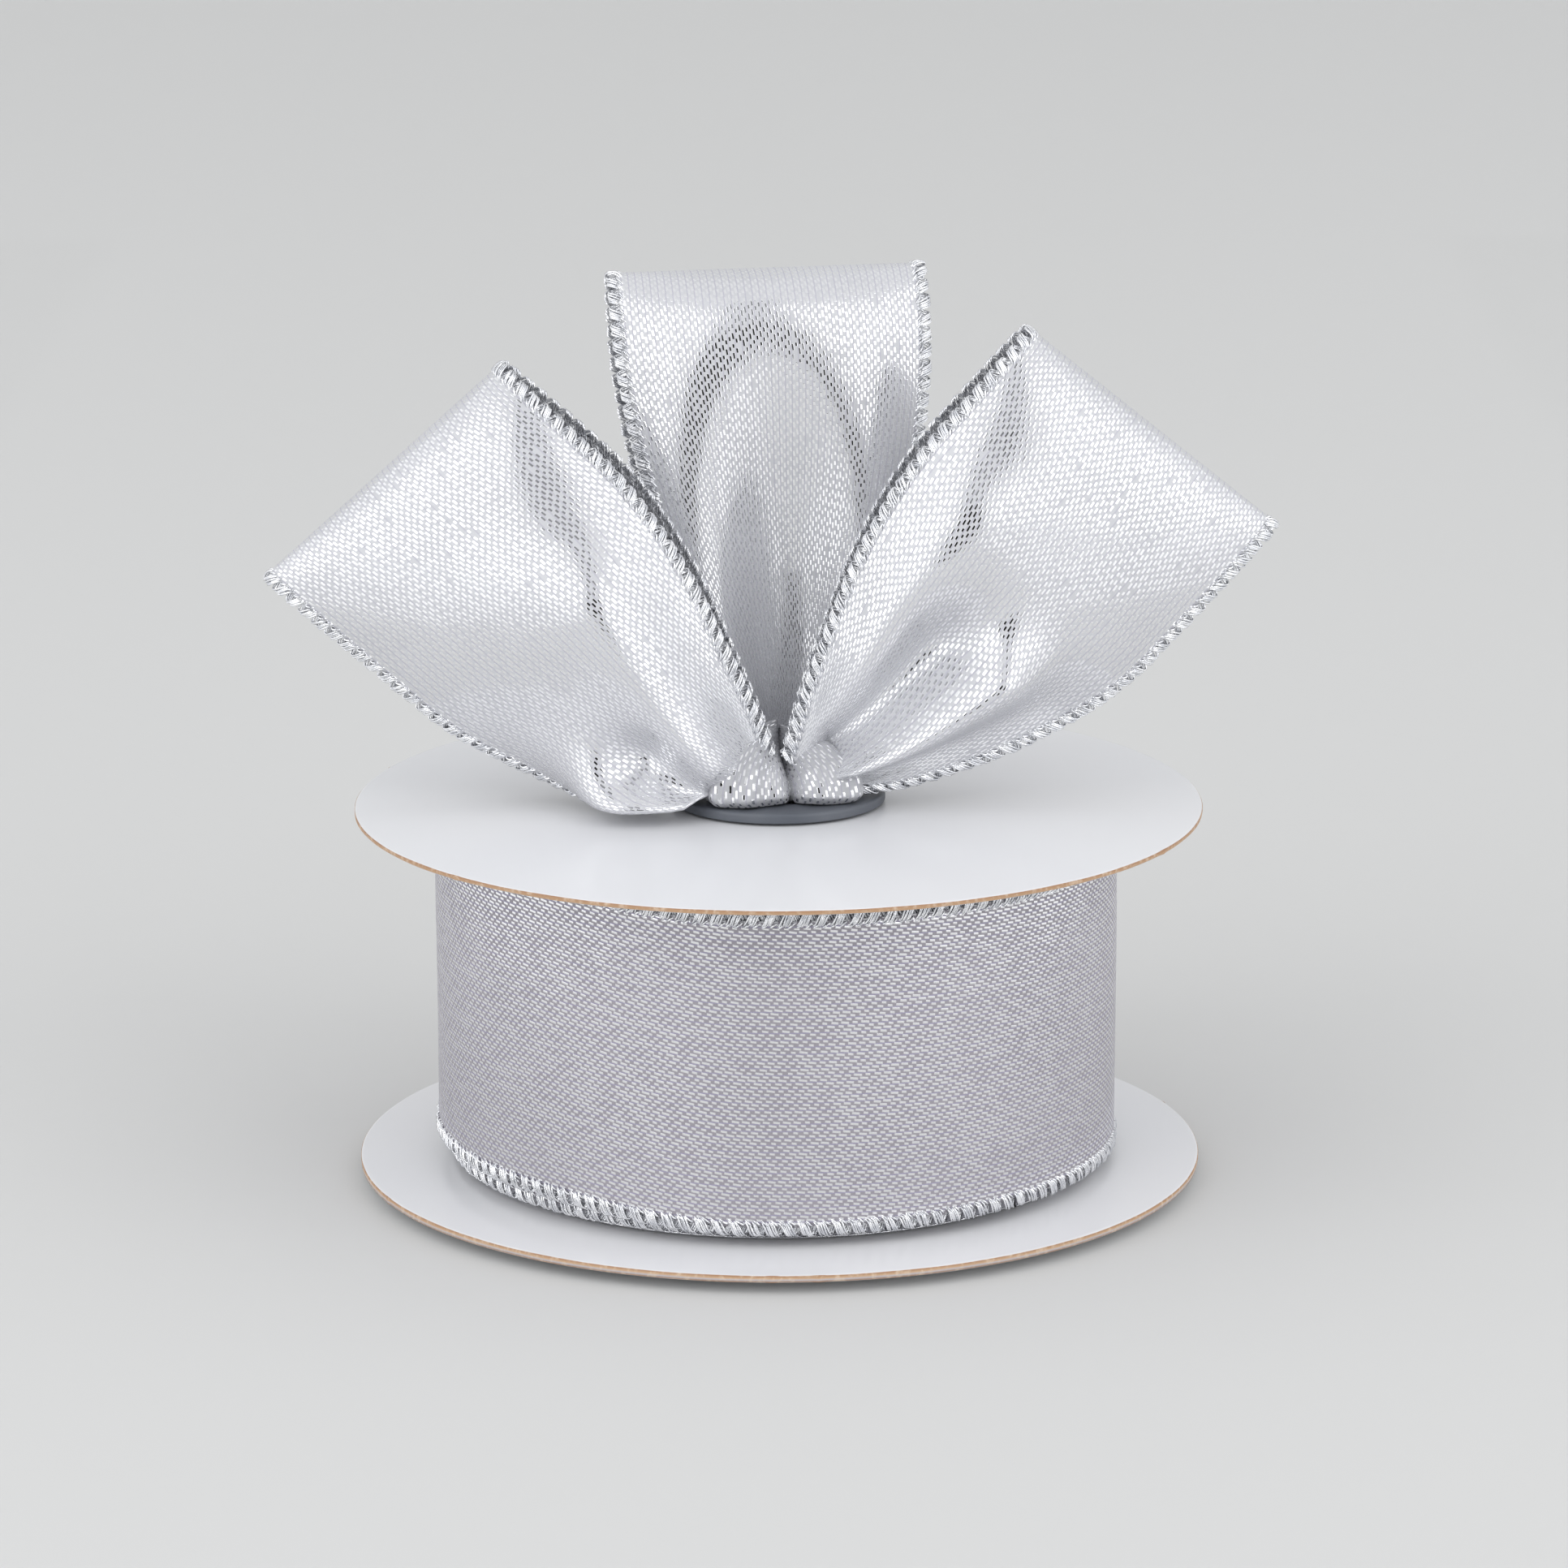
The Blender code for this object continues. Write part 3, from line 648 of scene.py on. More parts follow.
def make_hub_material():
    material, tree = new_material("hub_plastic")
    place = tree.place()
    wear = tree.noise(place, WEAR)
    tree.surface(
        Base_Color=blend(ramp(wear, 0.35, 0.7), *HUB_COLOURS),
        Roughness=ramp(wear, *NOISE_RANGE, *HUB_ROUGHNESS),
        bumps=tree.noise(place, MOULD_GRAIN), depth=0.02 * MM, strength=0.35,
    )
    return material


def dress(node, material):
    """Give a CAD node that stays as it is a material."""
    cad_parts[node].data.materials.clear()
    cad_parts[node].data.materials.append(material)


hub_material = make_hub_material()
dress("core_drum", hub_material)
print("core dressed")

# %% The hub plugs
HUB_STEPS = 128
CORNER_STEPS = 5
BORE_RADIUS = 7.5 * MM
BARREL_RADIUS = 9.0 * MM
RIM_THICKNESS = 1.2 * MM
HUB_CORNERS = (0.5 * MM, 0.45 * MM, 0.2 * MM, 0.0, 0.6 * MM, 0.2 * MM)


def rounded(points, radii):
    """A closed profile with each corner rounded by its own radius."""
    result = []
    for i, (corner, radius) in enumerate(zip(points, radii)):
        here = Vector(corner)
        if radius == 0:
            result.append(tuple(here))
            continue
        first = here + (Vector(points[i - 1]) - here).normalized() * radius
        last = here + (Vector(points[(i + 1) % len(points)]) - here).normalized() * radius
        for j in range(CORNER_STEPS + 1):
            share = j / CORNER_STEPS
            result.append(tuple(first.lerp(here, share).lerp(here.lerp(last, share), share)))
    return result


def make_plug(node, outward):
    """The rim and barrel of one plug. outward is +1 for the plug whose rim faces up."""
    low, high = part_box(node)
    outer, inner = (high.z, low.z) if outward > 0 else (low.z, high.z)
    rim_back = outer - outward * RIM_THICKNESS
    corners = [(BORE_RADIUS, outer), (high.x, outer), (high.x, rim_back), (BARREL_RADIUS, rim_back)]
    corners += [(BARREL_RADIUS, inner), (BORE_RADIUS, inner)]
    profile = rounded(corners, HUB_CORNERS)[::outward]
    piece = turned(node + "_moulding", profile, HUB_STEPS, hub_material)
    belongs(piece, "spool", node)


make_plug("upper_hub_plug", 1)
make_plug("lower_hub_plug", -1)

# %% [markdown]
# ## Sheets of ribbon
#
# Every visible stretch of ribbon is a grid of points that follows a formula: one direction runs
# along the ribbon, the other across it. The helper below turns such a grid into a thin closed
# sheet and writes the UV map in millimetres, measured along the sheet itself, which is what keeps
# the weave true to size.

# %% A helper for ribbon sheets
RIBBON_WIDTH = 38.9 * MM
EDGE_RADIUS = 0.5 * MM
SEAT_GAP = 0.3 * MM
FABRIC_WIDTH = RIBBON_WIDTH - 2 * (2 * EDGE_RADIUS + SEAT_GAP)
FABRIC_THICKNESS = 0.30 * MM


def plain_mesh(item):
    """Apply the item's modifiers, so that what is left is a plain mesh."""
    graph = bpy.context.evaluated_depsgraph_get()
    mesh = bpy.data.meshes.new_from_object(item.evaluated_get(graph))
    item.modifiers.clear()
    before, item.data = item.data, mesh
    bpy.data.meshes.remove(before)
    mesh.name = item.name
    return item


def middle_lengths(grid):
    """The length of each step along the middle of a sheet."""
    return np.linalg.norm(np.diff(grid[:, grid.shape[1] // 2], axis=0), axis=1)


def ribbon_sheet(name, grid, material, width=FABRIC_WIDTH):
    """A sheet through grid[along, across], with its UV map along_across in millimetres."""
    rows, columns, _ = grid.shape
    along = np.concatenate([[0.0], np.cumsum(middle_lengths(grid))]) / MM
    across = (np.linspace(0, 1, columns) - 0.5) * width / MM
    mesh = smooth_mesh(name, grid, grid_faces(rows, columns))
    layer = mesh.uv_layers.new(name="along_across")
    for loop in mesh.loops:
        i, j = divmod(loop.vertex_index, columns)
        layer.data[loop.index].uv = (along[i], across[j])
    item = add_object(name, mesh, material)
    wall = item.modifiers.new("Thickness", "SOLIDIFY")
    wall.thickness = FABRIC_THICKNESS
    wall.offset = 0.0
    return plain_mesh(item)


print("ribbon", RIBBON_WIDTH / MM, "mm wide over its edges")

# %% [markdown]
# ## The stitched edge
#
# A fine wire lies along each edge of the ribbon, and metal thread is sewn over it: bundles of
# strands go round the edge at a slant, one bundle every two millimetres, and small loops close
# each stitch on its inner side. It repeats along a path, so Geometry Nodes make it. The path is a
# mesh line that carries, at each point, the direction out of the cloth and the direction into it.
# The tree duplicates the path once for each strand, moves its points round a flat oval as they go
# along, shakes them a little, and gives the strands their thickness. The last strands are the
# small loops.

# %% Strands that go round a path
STITCH_PITCH = 2.0 * MM
STITCH_WIDTH = 1.9 * MM
STITCH_THICKNESS = 0.95 * MM
STRANDS = 5
STRAND_RADIUS = 0.13 * MM
THREAD_SIDES = 5
STRAND_PHASE = 0.125  # share of a turn by which each strand follows the last
STRAND_SHAKE = 0.42 * MM
LOOP_STRANDS = 2
LOOP_HALF_WIDTH = 0.30 * MM
LOOP_DEPTH = 0.95  # share of the stitch's depth
LOOP_SHAKE = 0.36 * MM
LOOP_PLACE = 0.86  # share of the way from the stitch's middle to its inner side
SHAKE_LUMPS = 900.0  # to the metre
PHASE_CHANCE = 9.0  # makes the shaking differ from strand to strand
POINTS_PER_STITCH = 14


def vectors(operation, first, second=None, **inputs):
    return first.tree.add("ShaderNodeVectorMath", first, second, operation=operation, **inputs)


def ring(tree, radius):
    return tree.add("GeometryNodeCurvePrimitiveCircle", THREAD_SIDES, mode="RADIUS", Radius=radius)


def reach_along(tree, label, reach):
    """One of the directions that the path carries, as long as the strand reaches in it."""
    way = tree.add("GeometryNodeInputNamedAttribute", data_type="FLOAT_VECTOR", Name=label)
    return vectors("SCALE", way, Scale=reach)


def strands_round(path, oval, count, phase_step, shake, pitch, radius, seed):
    """Strands that go round an oval (its half axes and its place) while they follow the path."""
    tree = path.tree
    half_width, half_depth, inset = oval
    copies = tree.add("GeometryNodeDuplicateElements", path, None, count, domain="SPLINE")
    phase = copies.also("Duplicate Index") * phase_step
    length = tree.add("GeometryNodeSplineParameter", out="Length")
    angle = (length / pitch + phase) * math.tau
    inward = reach_along(tree, "inward", calc("COSINE", angle) * half_width + inset)
    facing = reach_along(tree, "facing", calc("SINE", angle) * half_depth)
    here = tree.add("GeometryNodeInputPosition")
    chance = dict(noise_dimensions="4D", W=phase * PHASE_CHANCE + seed, Detail=0.0, out="Color")
    centred = vectors("SUBTRACT", tree.noise(here, SHAKE_LUMPS, **chance), (0.5, 0.5, 0.5))
    shaken = vectors("SCALE", centred, Scale=shake)
    offset = vectors("ADD", vectors("ADD", inward, facing), shaken)
    moved = tree.add("GeometryNodeSetPosition", copies, Offset=offset)
    return tree.add("GeometryNodeCurveToMesh", moved, ring(tree, radius), Fill_Caps=True)


def joined(*parts):
    """The parts as one smooth and real geometry."""
    tree = parts[0].tree
    join = tree.add("GeometryNodeJoinGeometry")
    for part in parts:
        tree.feed(join.socket.node, part)
    smooth = tree.add("GeometryNodeSetShadeSmooth", join)
    return tree.add("GeometryNodeRealizeInstances", smooth)


print("strands ready")

# %% The stitched edge as Geometry Nodes
def make_stitch_tree():
    tree, (edge, pitch, width, thickness, strands, radius, spacing, seed, thread) = new_group(
        "GeometryNodeTree",
        "stitched edge",
        {
            "Geometry": "Geometry", "Pitch": STITCH_PITCH, "Width": STITCH_WIDTH,
            "Thickness": STITCH_THICKNESS, "Strands": STRANDS, "Strand radius": STRAND_RADIUS,
            "Spacing": STITCH_PITCH / POINTS_PER_STITCH, "Seed": 1.0, "Thread": "Material",
        },
        {"Geometry": "Geometry"},
    )
    curve = tree.add("GeometryNodeMeshToCurve", edge)
    path = tree.add("GeometryNodeResampleCurve", curve, mode="LENGTH", Length=spacing)
    half_width, half_depth = width / 2.0 - radius, thickness / 2.0 - radius
    inset = width / 2.0 - EDGE_RADIUS
    oval = half_width, half_depth, inset
    small = LOOP_HALF_WIDTH, half_depth * LOOP_DEPTH, inset + half_width * LOOP_PLACE
    shared = pitch, radius, seed
    wound = strands_round(path, oval, strands, STRAND_PHASE, STRAND_SHAKE, *shared)
    loops = strands_round(path, small, LOOP_STRANDS, 0.5, LOOP_SHAKE, *shared)
    painted = tree.add("GeometryNodeSetMaterial", joined(wound, loops), Material=thread)
    return tree.finish(painted)


stitch_tree = make_stitch_tree()
print("stitches every", STITCH_PITCH / MM, "mm")

# %% Sewing along a path
def grow(item, tree, **inputs):
    """Run a tree on an item with inputs set by their sockets' identifiers, and keep the result."""
    modifier = item.modifiers.new("Nodes", "NODES")
    modifier.node_group = tree
    sockets = [socket for socket in tree.interface.items_tree if socket.in_out == "INPUT"]
    identifiers = {socket.name: socket.identifier for socket in sockets}
    for label, value in inputs.items():
        modifier[identifiers[label]] = value
    return plain_mesh(item)


def stitched_edge(name, path, inward, facing, body, node, seed):
    """Thread sewn along a path of points. inward points into the cloth, facing out of its front."""
    mesh = smooth_mesh(name, path, edges=[(i, i + 1) for i in range(len(path) - 1)])
    for label, ways in (("inward", inward), ("facing", facing)):
        attribute = mesh.attributes.new(label, "FLOAT_VECTOR", "POINT")
        attribute.data.foreach_set("vector", ways.astype(np.float32).ravel())
    item = grow(add_object(name, mesh), stitch_tree, Thread=thread_material, Seed=seed)
    belongs(item, body, node)
    return item


print("edges can be sewn")

# %% [markdown]
# ## The roll
#
# The outer turns show as one strip of ribbon that spirals inwards. Its last turn rides up a
# little at the left, where the photograph shows two edges one above the other, and settles to the
# front. The same values as the CAD model's are repeated here. The cloth between the stiff edges
# is not quite tight, so it has faint swells.

# %% The path of the outer turns
OUTER_TURN_RADIUS = 41.4 * MM
TURN_PITCH = 1.46 * MM
OUTER_TURNS = 1.68
TAIL_ANGLE = math.radians(118)
TAIL_RISE = 2.2 * MM
FRONT_RISE = 0.5 * MM
RISE_FROM = math.radians(266)
RISE_TO = math.radians(222)
SETTLE_FROM = math.radians(200)
SETTLE_TO = math.radians(330)
ROLL_ROWS = 640


def smooth_step(value, start, end):
    share = np.clip((value - start) / (end - start), 0.0, 1.0)
    return share * share * (3 - 2 * share)


def roll_path():
    """Angle, radius and rise at each place on the outer turns, from the ribbon's end inwards."""
    turned_by = np.linspace(0, math.tau * OUTER_TURNS, ROLL_ROWS)
    angle = TAIL_ANGLE + turned_by
    last_lap = 1 - smooth_step(turned_by, SETTLE_FROM, SETTLE_TO)
    left = smooth_step(angle, RISE_FROM, RISE_TO)
    rise = last_lap * (FRONT_RISE + (TAIL_RISE - FRONT_RISE) * left)
    return angle, OUTER_TURN_RADIUS - TURN_PITCH * turned_by / math.tau, rise


outer_length = math.tau * OUTER_TURNS * (OUTER_TURN_RADIUS - TURN_PITCH * OUTER_TURNS / 2)
print(f"outer turns: {outer_length:.3f} m of ribbon")

# %% The outer turns and their edges
ROLL_BASE = 3.3 * MM
ROLL_COLUMNS = 41
BROAD_SWELL, BROAD_SWELLS = 0.10 * MM, 5  # height, and number round the roll
SMALL_SWELL, SMALL_SWELLS = 0.05 * MM, 13


def make_outer_turns():
    angle, radius, rise = roll_path()
    edge = 2 * EDGE_RADIUS + 0.5 * SEAT_GAP
    width = RIBBON_WIDTH - 2 * edge
    grid = np.zeros((ROLL_ROWS, ROLL_COLUMNS, 3))
    for j, share in enumerate(np.linspace(0, 1, ROLL_COLUMNS)):
        middle = np.sin(math.pi * share)
        swell = BROAD_SWELL * np.sin(BROAD_SWELLS * angle + 2.0 * share + 0.6)
        swell = middle * (swell + SMALL_SWELL * np.sin(SMALL_SWELLS * angle - 3.0 * share))
        grid[:, j] = round_points(radius + swell, angle, ROLL_BASE + edge + rise + width * share)
    piece = ribbon_sheet("ribbon_outer_winding", grid, shaded_roll_material, width)
    belongs(piece, "spool", "ribbon_outer_turns")
    return piece


def make_roll_edge(name, node, height, upward, seed):
    angle, radius, rise = roll_path()
    path = round_points(radius, angle, height + rise)
    inward = np.tile([0.0, 0.0, upward], (ROLL_ROWS, 1))
    facing = round_points(np.ones(ROLL_ROWS), angle, 0.0)
    return stitched_edge(name, path, inward, facing, "spool", node, seed)


outer_winding = make_outer_turns()
low_edge, high_edge = ROLL_BASE + EDGE_RADIUS, ROLL_BASE + RIBBON_WIDTH - EDGE_RADIUS
roll_edges = [
    make_roll_edge("roll_lower_stitching", "roll_lower_edge", low_edge, 1.0, 1.0),
    make_roll_edge("roll_upper_stitching", "roll_upper_edge", high_edge, -1.0, 2.0),
]
print("outer turns from", low_edge / MM, "to", high_edge / MM, "mm")

# %% [markdown]
# The inner turns are nearly hidden, but from above and below a wound roll shows its closely
# packed edges. Their path is a flat spiral, which Geometry Nodes have as a curve of its own, and
# a short upright line swept along it makes the strip, with a small bead at each end for the
# stitched edges.

# %% The inner turns of ribbon
SPOOLED_LENGTH = 9.144  # metres: ten yards
INNER_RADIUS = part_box("core_drum")[1].x + 0.35 * MM
INNER_OUTER_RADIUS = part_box("ribbon_roll")[1].x - 0.2 * MM
SPIRAL_POINTS = 64  # for each turn
BEAD_RADIUS = 0.17 * MM


def make_spiral_tree():
    tree, (_, turns, first, last, width, bead, cloth, thread) = new_group(
        "GeometryNodeTree",
        "wound strip",
        {
            "Geometry": "Geometry", "Turns": 50.0, "Start radius": INNER_RADIUS,
            "End radius": INNER_OUTER_RADIUS, "Width": RIBBON_WIDTH, "Bead": BEAD_RADIUS,
            "Cloth": "Material", "Thread": "Material",
        },
        {"Geometry": "Geometry"},
    )
    spiral = tree.add("GeometryNodeCurveSpiral", SPIRAL_POINTS, turns, first, last, 0.0)
    half = width / 2.0
    ends = [tree.add("ShaderNodeCombineXYZ", None, height) for height in (half * -1.0, half)]
    line = tree.add("GeometryNodeCurvePrimitiveLine", Start=ends[0], End=ends[1])
    beads = [tree.add("GeometryNodeTransform", ring(tree, bead), Translation=end) for end in ends]
    parts = []
    for profile, material in ((line, cloth), (beads[0], thread), (beads[1], thread)):
        strip = tree.add("GeometryNodeCurveToMesh", spiral, profile)
        parts.append(tree.add("GeometryNodeSetMaterial", strip, Material=material))
    return tree.finish(joined(*parts))


mean_turn = math.tau * (INNER_RADIUS + INNER_OUTER_RADIUS) / 2
inner_turns = (SPOOLED_LENGTH - outer_length) / mean_turn
one_point = smooth_mesh("ribbon_inner_winding", [(0, 0, 0)])
inner_winding = grow(
    add_object("ribbon_inner_winding", one_point), make_spiral_tree(),
    Turns=inner_turns, Cloth=ribbon_material, Thread=thread_material,
)
low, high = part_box("ribbon_roll")
inner_winding.data.transform(Matrix.Translation((0, 0, (low.z + high.z) / 2)))
belongs(inner_winding, "spool", "ribbon_roll")

# %% [markdown]
# ## The bow
#
# Each loop is one length of ribbon, gathered at its two ends. Its formula runs along the ribbon
# from the gather over the fold and back, and across from edge to edge. Near the gather the width
# is drawn in, and away from it the two layers part, most in the middle of the width, because the
# wires hold the edges together. On top of that come soft folds in the front layer, each along a
# line, as a hand presses them in.

# %% The values of the loops
HUB_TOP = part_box("upper_hub_plug")[1].z
BOARD_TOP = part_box("upper_flange")[1].z
RIM_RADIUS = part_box("upper_hub_plug")[1].x
LOOP_START = 2.4 * MM
LAYER_HALF_GAP = 0.9 * MM
GATHERED_SHARE = 0.10
LOOP_OPENS = (0.0, 0.20)
CREST_LIMITS = (0.3, 0.95)
PINCH_POWER = 2.5
FOLD_STARTS = (0.03, 0.12)
FRONT_TO_BACK = (-0.10, 0.45)
TWIST_GROWTH = (0.0, 0.30)
DRAPE = (0.5 * MM, 4.0 * MM)
REST_SOFTNESS = 0.4 * MM
# Lengths are in millimetres and angles in degrees. Each fold is a soft ridge in the front layer:
# the places (reach, across) where its line starts and ends, its width, and how far it stands out
# and pulls the cloth aside.
LOOPS = {
    "left": dict(
        root=(-1.4, -4.8, 0.6), lean=-50.1, forward=-6.5, turn=2.0, twist=-20.0, length=59.6,
        depth=7.5, opened=(0.60, 0.74), skew=-0.043, sag=0.2, crest=(0.56, 0.16, 0.10),
        pinch=(0.62, 0.62),
        folds=[
            ((0.05, 0.12), (0.50, 0.45), 0.27, 3.4, 0.5),
            ((0.09, -0.12), (0.22, -0.22), 0.17, -4.5, 0.0),
            ((0.05, -0.15), (0.20, -0.62), 0.30, 6.5, -3.5),
            ((0.42, -0.10), (0.62, 0.10), 0.35, 1.4, 0.0),
        ],
    ),
    "centre": dict(
        root=(1.3, 4.4, -1.2), lean=-2.5, forward=-12.0, turn=6.7, twist=0.0, length=62.7,
        depth=7.5, opened=(0.93, 0.93), skew=-0.002, sag=0.2, crest=(0.88, 0.0, -0.30),
        pinch=(0.45, 0.45),
        folds=[],
    ),
    "right": dict(
        root=(1.8, -4.8, 0.6), lean=44.7, forward=-6.2, turn=0.0, twist=12.0, length=61.0,
        depth=7.0, opened=(0.74, 0.65), skew=0.031, sag=0.3, crest=(0.56, -0.12, 0.18),
        pinch=(0.62, 0.60),
        folds=[
            ((0.05, 0.10), (0.42, 0.32), 0.20, 5.0, 1.0),
            ((0.10, -0.14), (0.40, -0.10), 0.22, -5.0, 0.0),
            ((0.14, 0.55), (0.45, 0.78), 0.18, -2.5, 0.0),
            ((0.30, -0.62), (0.62, -0.60), 0.25, 1.5, 0.0),
        ],
    ),
}

print("loops:", ", ".join(LOOPS))

# %% The depth and the folds of a loop
def between(pair, across):
    """The value at a place across, from the pair for the two edges."""
    first, last = pair
    return first + (last - first) * (across + 1) / 2


def loop_axes(loop):
    """Across the loop's width, along its length, and out of its front."""
    turn = (
        Matrix.Rotation(math.radians(loop["lean"]), 3, "Y")
        @ Matrix.Rotation(math.radians(loop["forward"]), 3, "X")
        @ Matrix.Rotation(math.radians(loop["turn"]), 3, "Z")
    )
    return [np.array(turn @ Vector(way)) for way in ((1, 0, 0), (0, 0, 1), (0, -1, 0))]


def layer_depth(loop, round_angle, across):
    """How far a layer stands off the loop's middle plane, as a share of its greatest depth."""
    middle, slope, bend = loop["crest"]
    crest = np.clip(middle + slope * across + bend * across * across, *CREST_LIMITS)
    power = crest**2 / (1 - crest**2)
    peak = np.sqrt(1 / (1 + power)) * (power / (1 + power)) ** (power / 2)
    reach = np.sin(round_angle)
    pinched = 1 - between(loop["pinch"], across) * np.abs(across) ** PINCH_POWER
    return np.cos(round_angle) * reach**power / peak * smooth_step(reach, *LOOP_OPENS) * pinched


def fold_share(loop, start, end, width, reach, across):
    """1 on a fold's line, falling off softly to both sides."""
    half_width = FABRIC_WIDTH / 2 / (loop["length"] * MM)  # one measure for across and along
    measure = np.array([1.0, half_width])
    start, line = start * measure, (np.array(end) - start) * measure
    place = np.stack([reach, across * half_width], axis=-1) - start
    nearest = np.clip(place @ line / (line @ line), 0.0, 1.0)[..., None] * line
    far = np.linalg.norm(place - nearest, axis=-1) / (width * half_width)
    return np.exp(-(far**2) / 2)


print("folds:", sum(len(loop["folds"]) for loop in LOOPS.values()))

# %% The points of a loop
def free_points(loop, along, across):
    """Points of the loop before it is laid on the hub. along and across are arrays of one shape."""
    length = loop["length"] * MM * (1 + loop["skew"] * across)
    begin = np.arcsin(LOOP_START / length)
    round_angle = begin + (math.pi - 2 * begin) * along
    reach = np.sin(round_angle)
    drawn_in = np.sin(math.pi / 2 * np.minimum(1.0, reach / between(loop["opened"], across)))
    aside = across * FABRIC_WIDTH / 2 * (GATHERED_SHARE + (1 - GATHERED_SHARE) * drawn_in)
    aside = aside + loop["sag"] * MM * np.sin(math.pi * reach)
    depth = LAYER_HALF_GAP * np.tanh(4 * np.cos(round_angle))
    depth = depth + loop["depth"] * MM * layer_depth(loop, round_angle, across)
    in_front = smooth_step(np.cos(round_angle), *FRONT_TO_BACK) * smooth_step(reach, *FOLD_STARTS)
    for start, end, width, out, pull in loop["folds"]:
        share = in_front * fold_share(loop, start, end, width, reach, across)
        depth = depth + out * MM * share
        aside = aside + pull * MM * share
    twist = math.radians(loop["twist"]) * (1 - reach) * smooth_step(reach, *TWIST_GROWTH)
    aside, depth = (
        aside * np.cos(twist) + depth * np.sin(twist),
        depth * np.cos(twist) - aside * np.sin(twist),
    )
    across_axis, length_axis, front_axis = loop_axes(loop)
    root = np.array(loop["root"]) * MM + np.array([0.0, 0.0, HUB_TOP])
    return (
        root
        + aside[..., None] * across_axis
        + (length * reach)[..., None] * length_axis
        + depth[..., None] * front_axis
    )


def laid_on_hub(points, clearance):
    """The points, raised smoothly where the cloth lies on the hub's rim or on the board."""
    outside = np.hypot(points[..., 0], points[..., 1]) - RIM_RADIUS
    rest = HUB_TOP + clearance - (HUB_TOP - BOARD_TOP) * smooth_step(outside, *DRAPE)
    above = (points[..., 2] - rest) / REST_SOFTNESS
    result = points.copy()
    result[..., 2] = rest + REST_SOFTNESS * np.logaddexp(0.0, above)
    return result


print("loops lie on the hub's top, at", round(HUB_TOP / MM, 1), "mm")

# %% [markdown]
# With the shape known, each loop becomes a fine sheet. Its two stitched edges follow the cloth's
# own edges, a little further out. The direction out of the cloth comes from the cross product of
# the two directions in it.

# %% The loops and their edges
LOOP_ROWS = 181
LOOP_COLUMNS = 61
INSIDE_EDGE = 0.98  # a place just inside the edge, to find the direction into the cloth
EDGE_NODES = {
    "left": {-1: "bow_left_lower_edge", 1: "bow_left_upper_edge"},
    "centre": {-1: "bow_centre_left_edge", 1: "bow_centre_right_edge"},
    "right": {-1: "bow_right_upper_edge", 1: "bow_right_lower_edge"},
}


def loop_grid(side):
    along, across = np.linspace(0, 1, LOOP_ROWS), np.linspace(-1, 1, LOOP_COLUMNS)
    points = free_points(LOOPS[side], *np.meshgrid(along, across, indexing="ij"))
    return laid_on_hub(points, 2 * EDGE_RADIUS + 2 * SEAT_GAP + FABRIC_THICKNESS / 2)


def unit(ways):
    return ways / np.linalg.norm(ways, axis=1)[:, None]


def edge_frame(side, sign):
    """The path of one stitched edge, and the directions into the cloth and out of its front."""
    along = np.linspace(0, 1, LOOP_ROWS)
    at_edge = free_points(LOOPS[side], along, np.full(LOOP_ROWS, float(sign)))
    inside = free_points(LOOPS[side], along, np.full(LOOP_ROWS, INSIDE_EDGE * sign))
    inward = unit(inside - at_edge)
    path = laid_on_hub(at_edge - inward * (EDGE_RADIUS + SEAT_GAP), EDGE_RADIUS + SEAT_GAP)
    forward = unit(np.gradient(path, axis=0))
    return path, inward, unit(np.cross(forward, inward) * sign)


def make_loop(side, seed):
    node = f"bow_loop_{side}"
    grid = loop_grid(side)
    cloth = ribbon_sheet(f"{node}_cloth", grid, ribbon_material)
    belongs(cloth, "bow", node)
    edges = []
    for sign, edge_node in EDGE_NODES[side].items():
        name = edge_node.replace("_edge", "_stitching")
        edges.append(stitched_edge(name, *edge_frame(side, sign), "bow", edge_node, seed + sign))
    length = middle_lengths(grid).sum()
    print(f"{side} loop: {length:.3f} m of ribbon")
    return cloth, edges, length


loops = {side: make_loop(side, 10.0 * number) for number, side in enumerate(LOOPS, 1)}

# %% [markdown]
# ## The gathered ends, the tie and the tape
#
# Below the loops the ribbon's ends are bunched, tied and pushed into the bore. What shows is the
# bunch's head: two broad folds of cloth that roll out over the hub from the left and the right
# and meet in a crease in front, with smaller ones behind. It is one turned form. Its lip swells
# where a fold lies, its radius waves with the pleats, and below it narrows into the twisted
# bundle that fills the bore.

# %% The lip of the gathered ends
LIP = 6.4 * MM  # from the axis, where no fold swells it
# Each fold and crease has the degrees where it lies, its spread in degrees, and its size.
LIP_FOLDS = ((-124, 34, 6.5 * MM), (-43, 31, 5.9 * MM), (35, 40, 1.2 * MM), (150, 40, 1.8 * MM))
CREASES = ((-79, 4, -1.7 * MM), (-14, 9, -1.6 * MM), (90, 12, -1.5 * MM), (178, 10, -1.2 * MM))
TALL_FOLDS = ((-128, 30, 1.0), (-40, 26, 0.8), (-79, 8, -0.5))  # shares added to the height


def swells(angles, folds):
    """The sum of soft swells round the axis."""
    total = np.zeros_like(angles)
    for middle, spread, size in folds:
        away = np.mod(np.degrees(angles) - middle + 180.0, 360.0) - 180.0
        total += size * np.exp(-((away / spread) ** 2))
    return total


print("lip of", LIP / MM, "mm with", len(LIP_FOLDS), "folds")

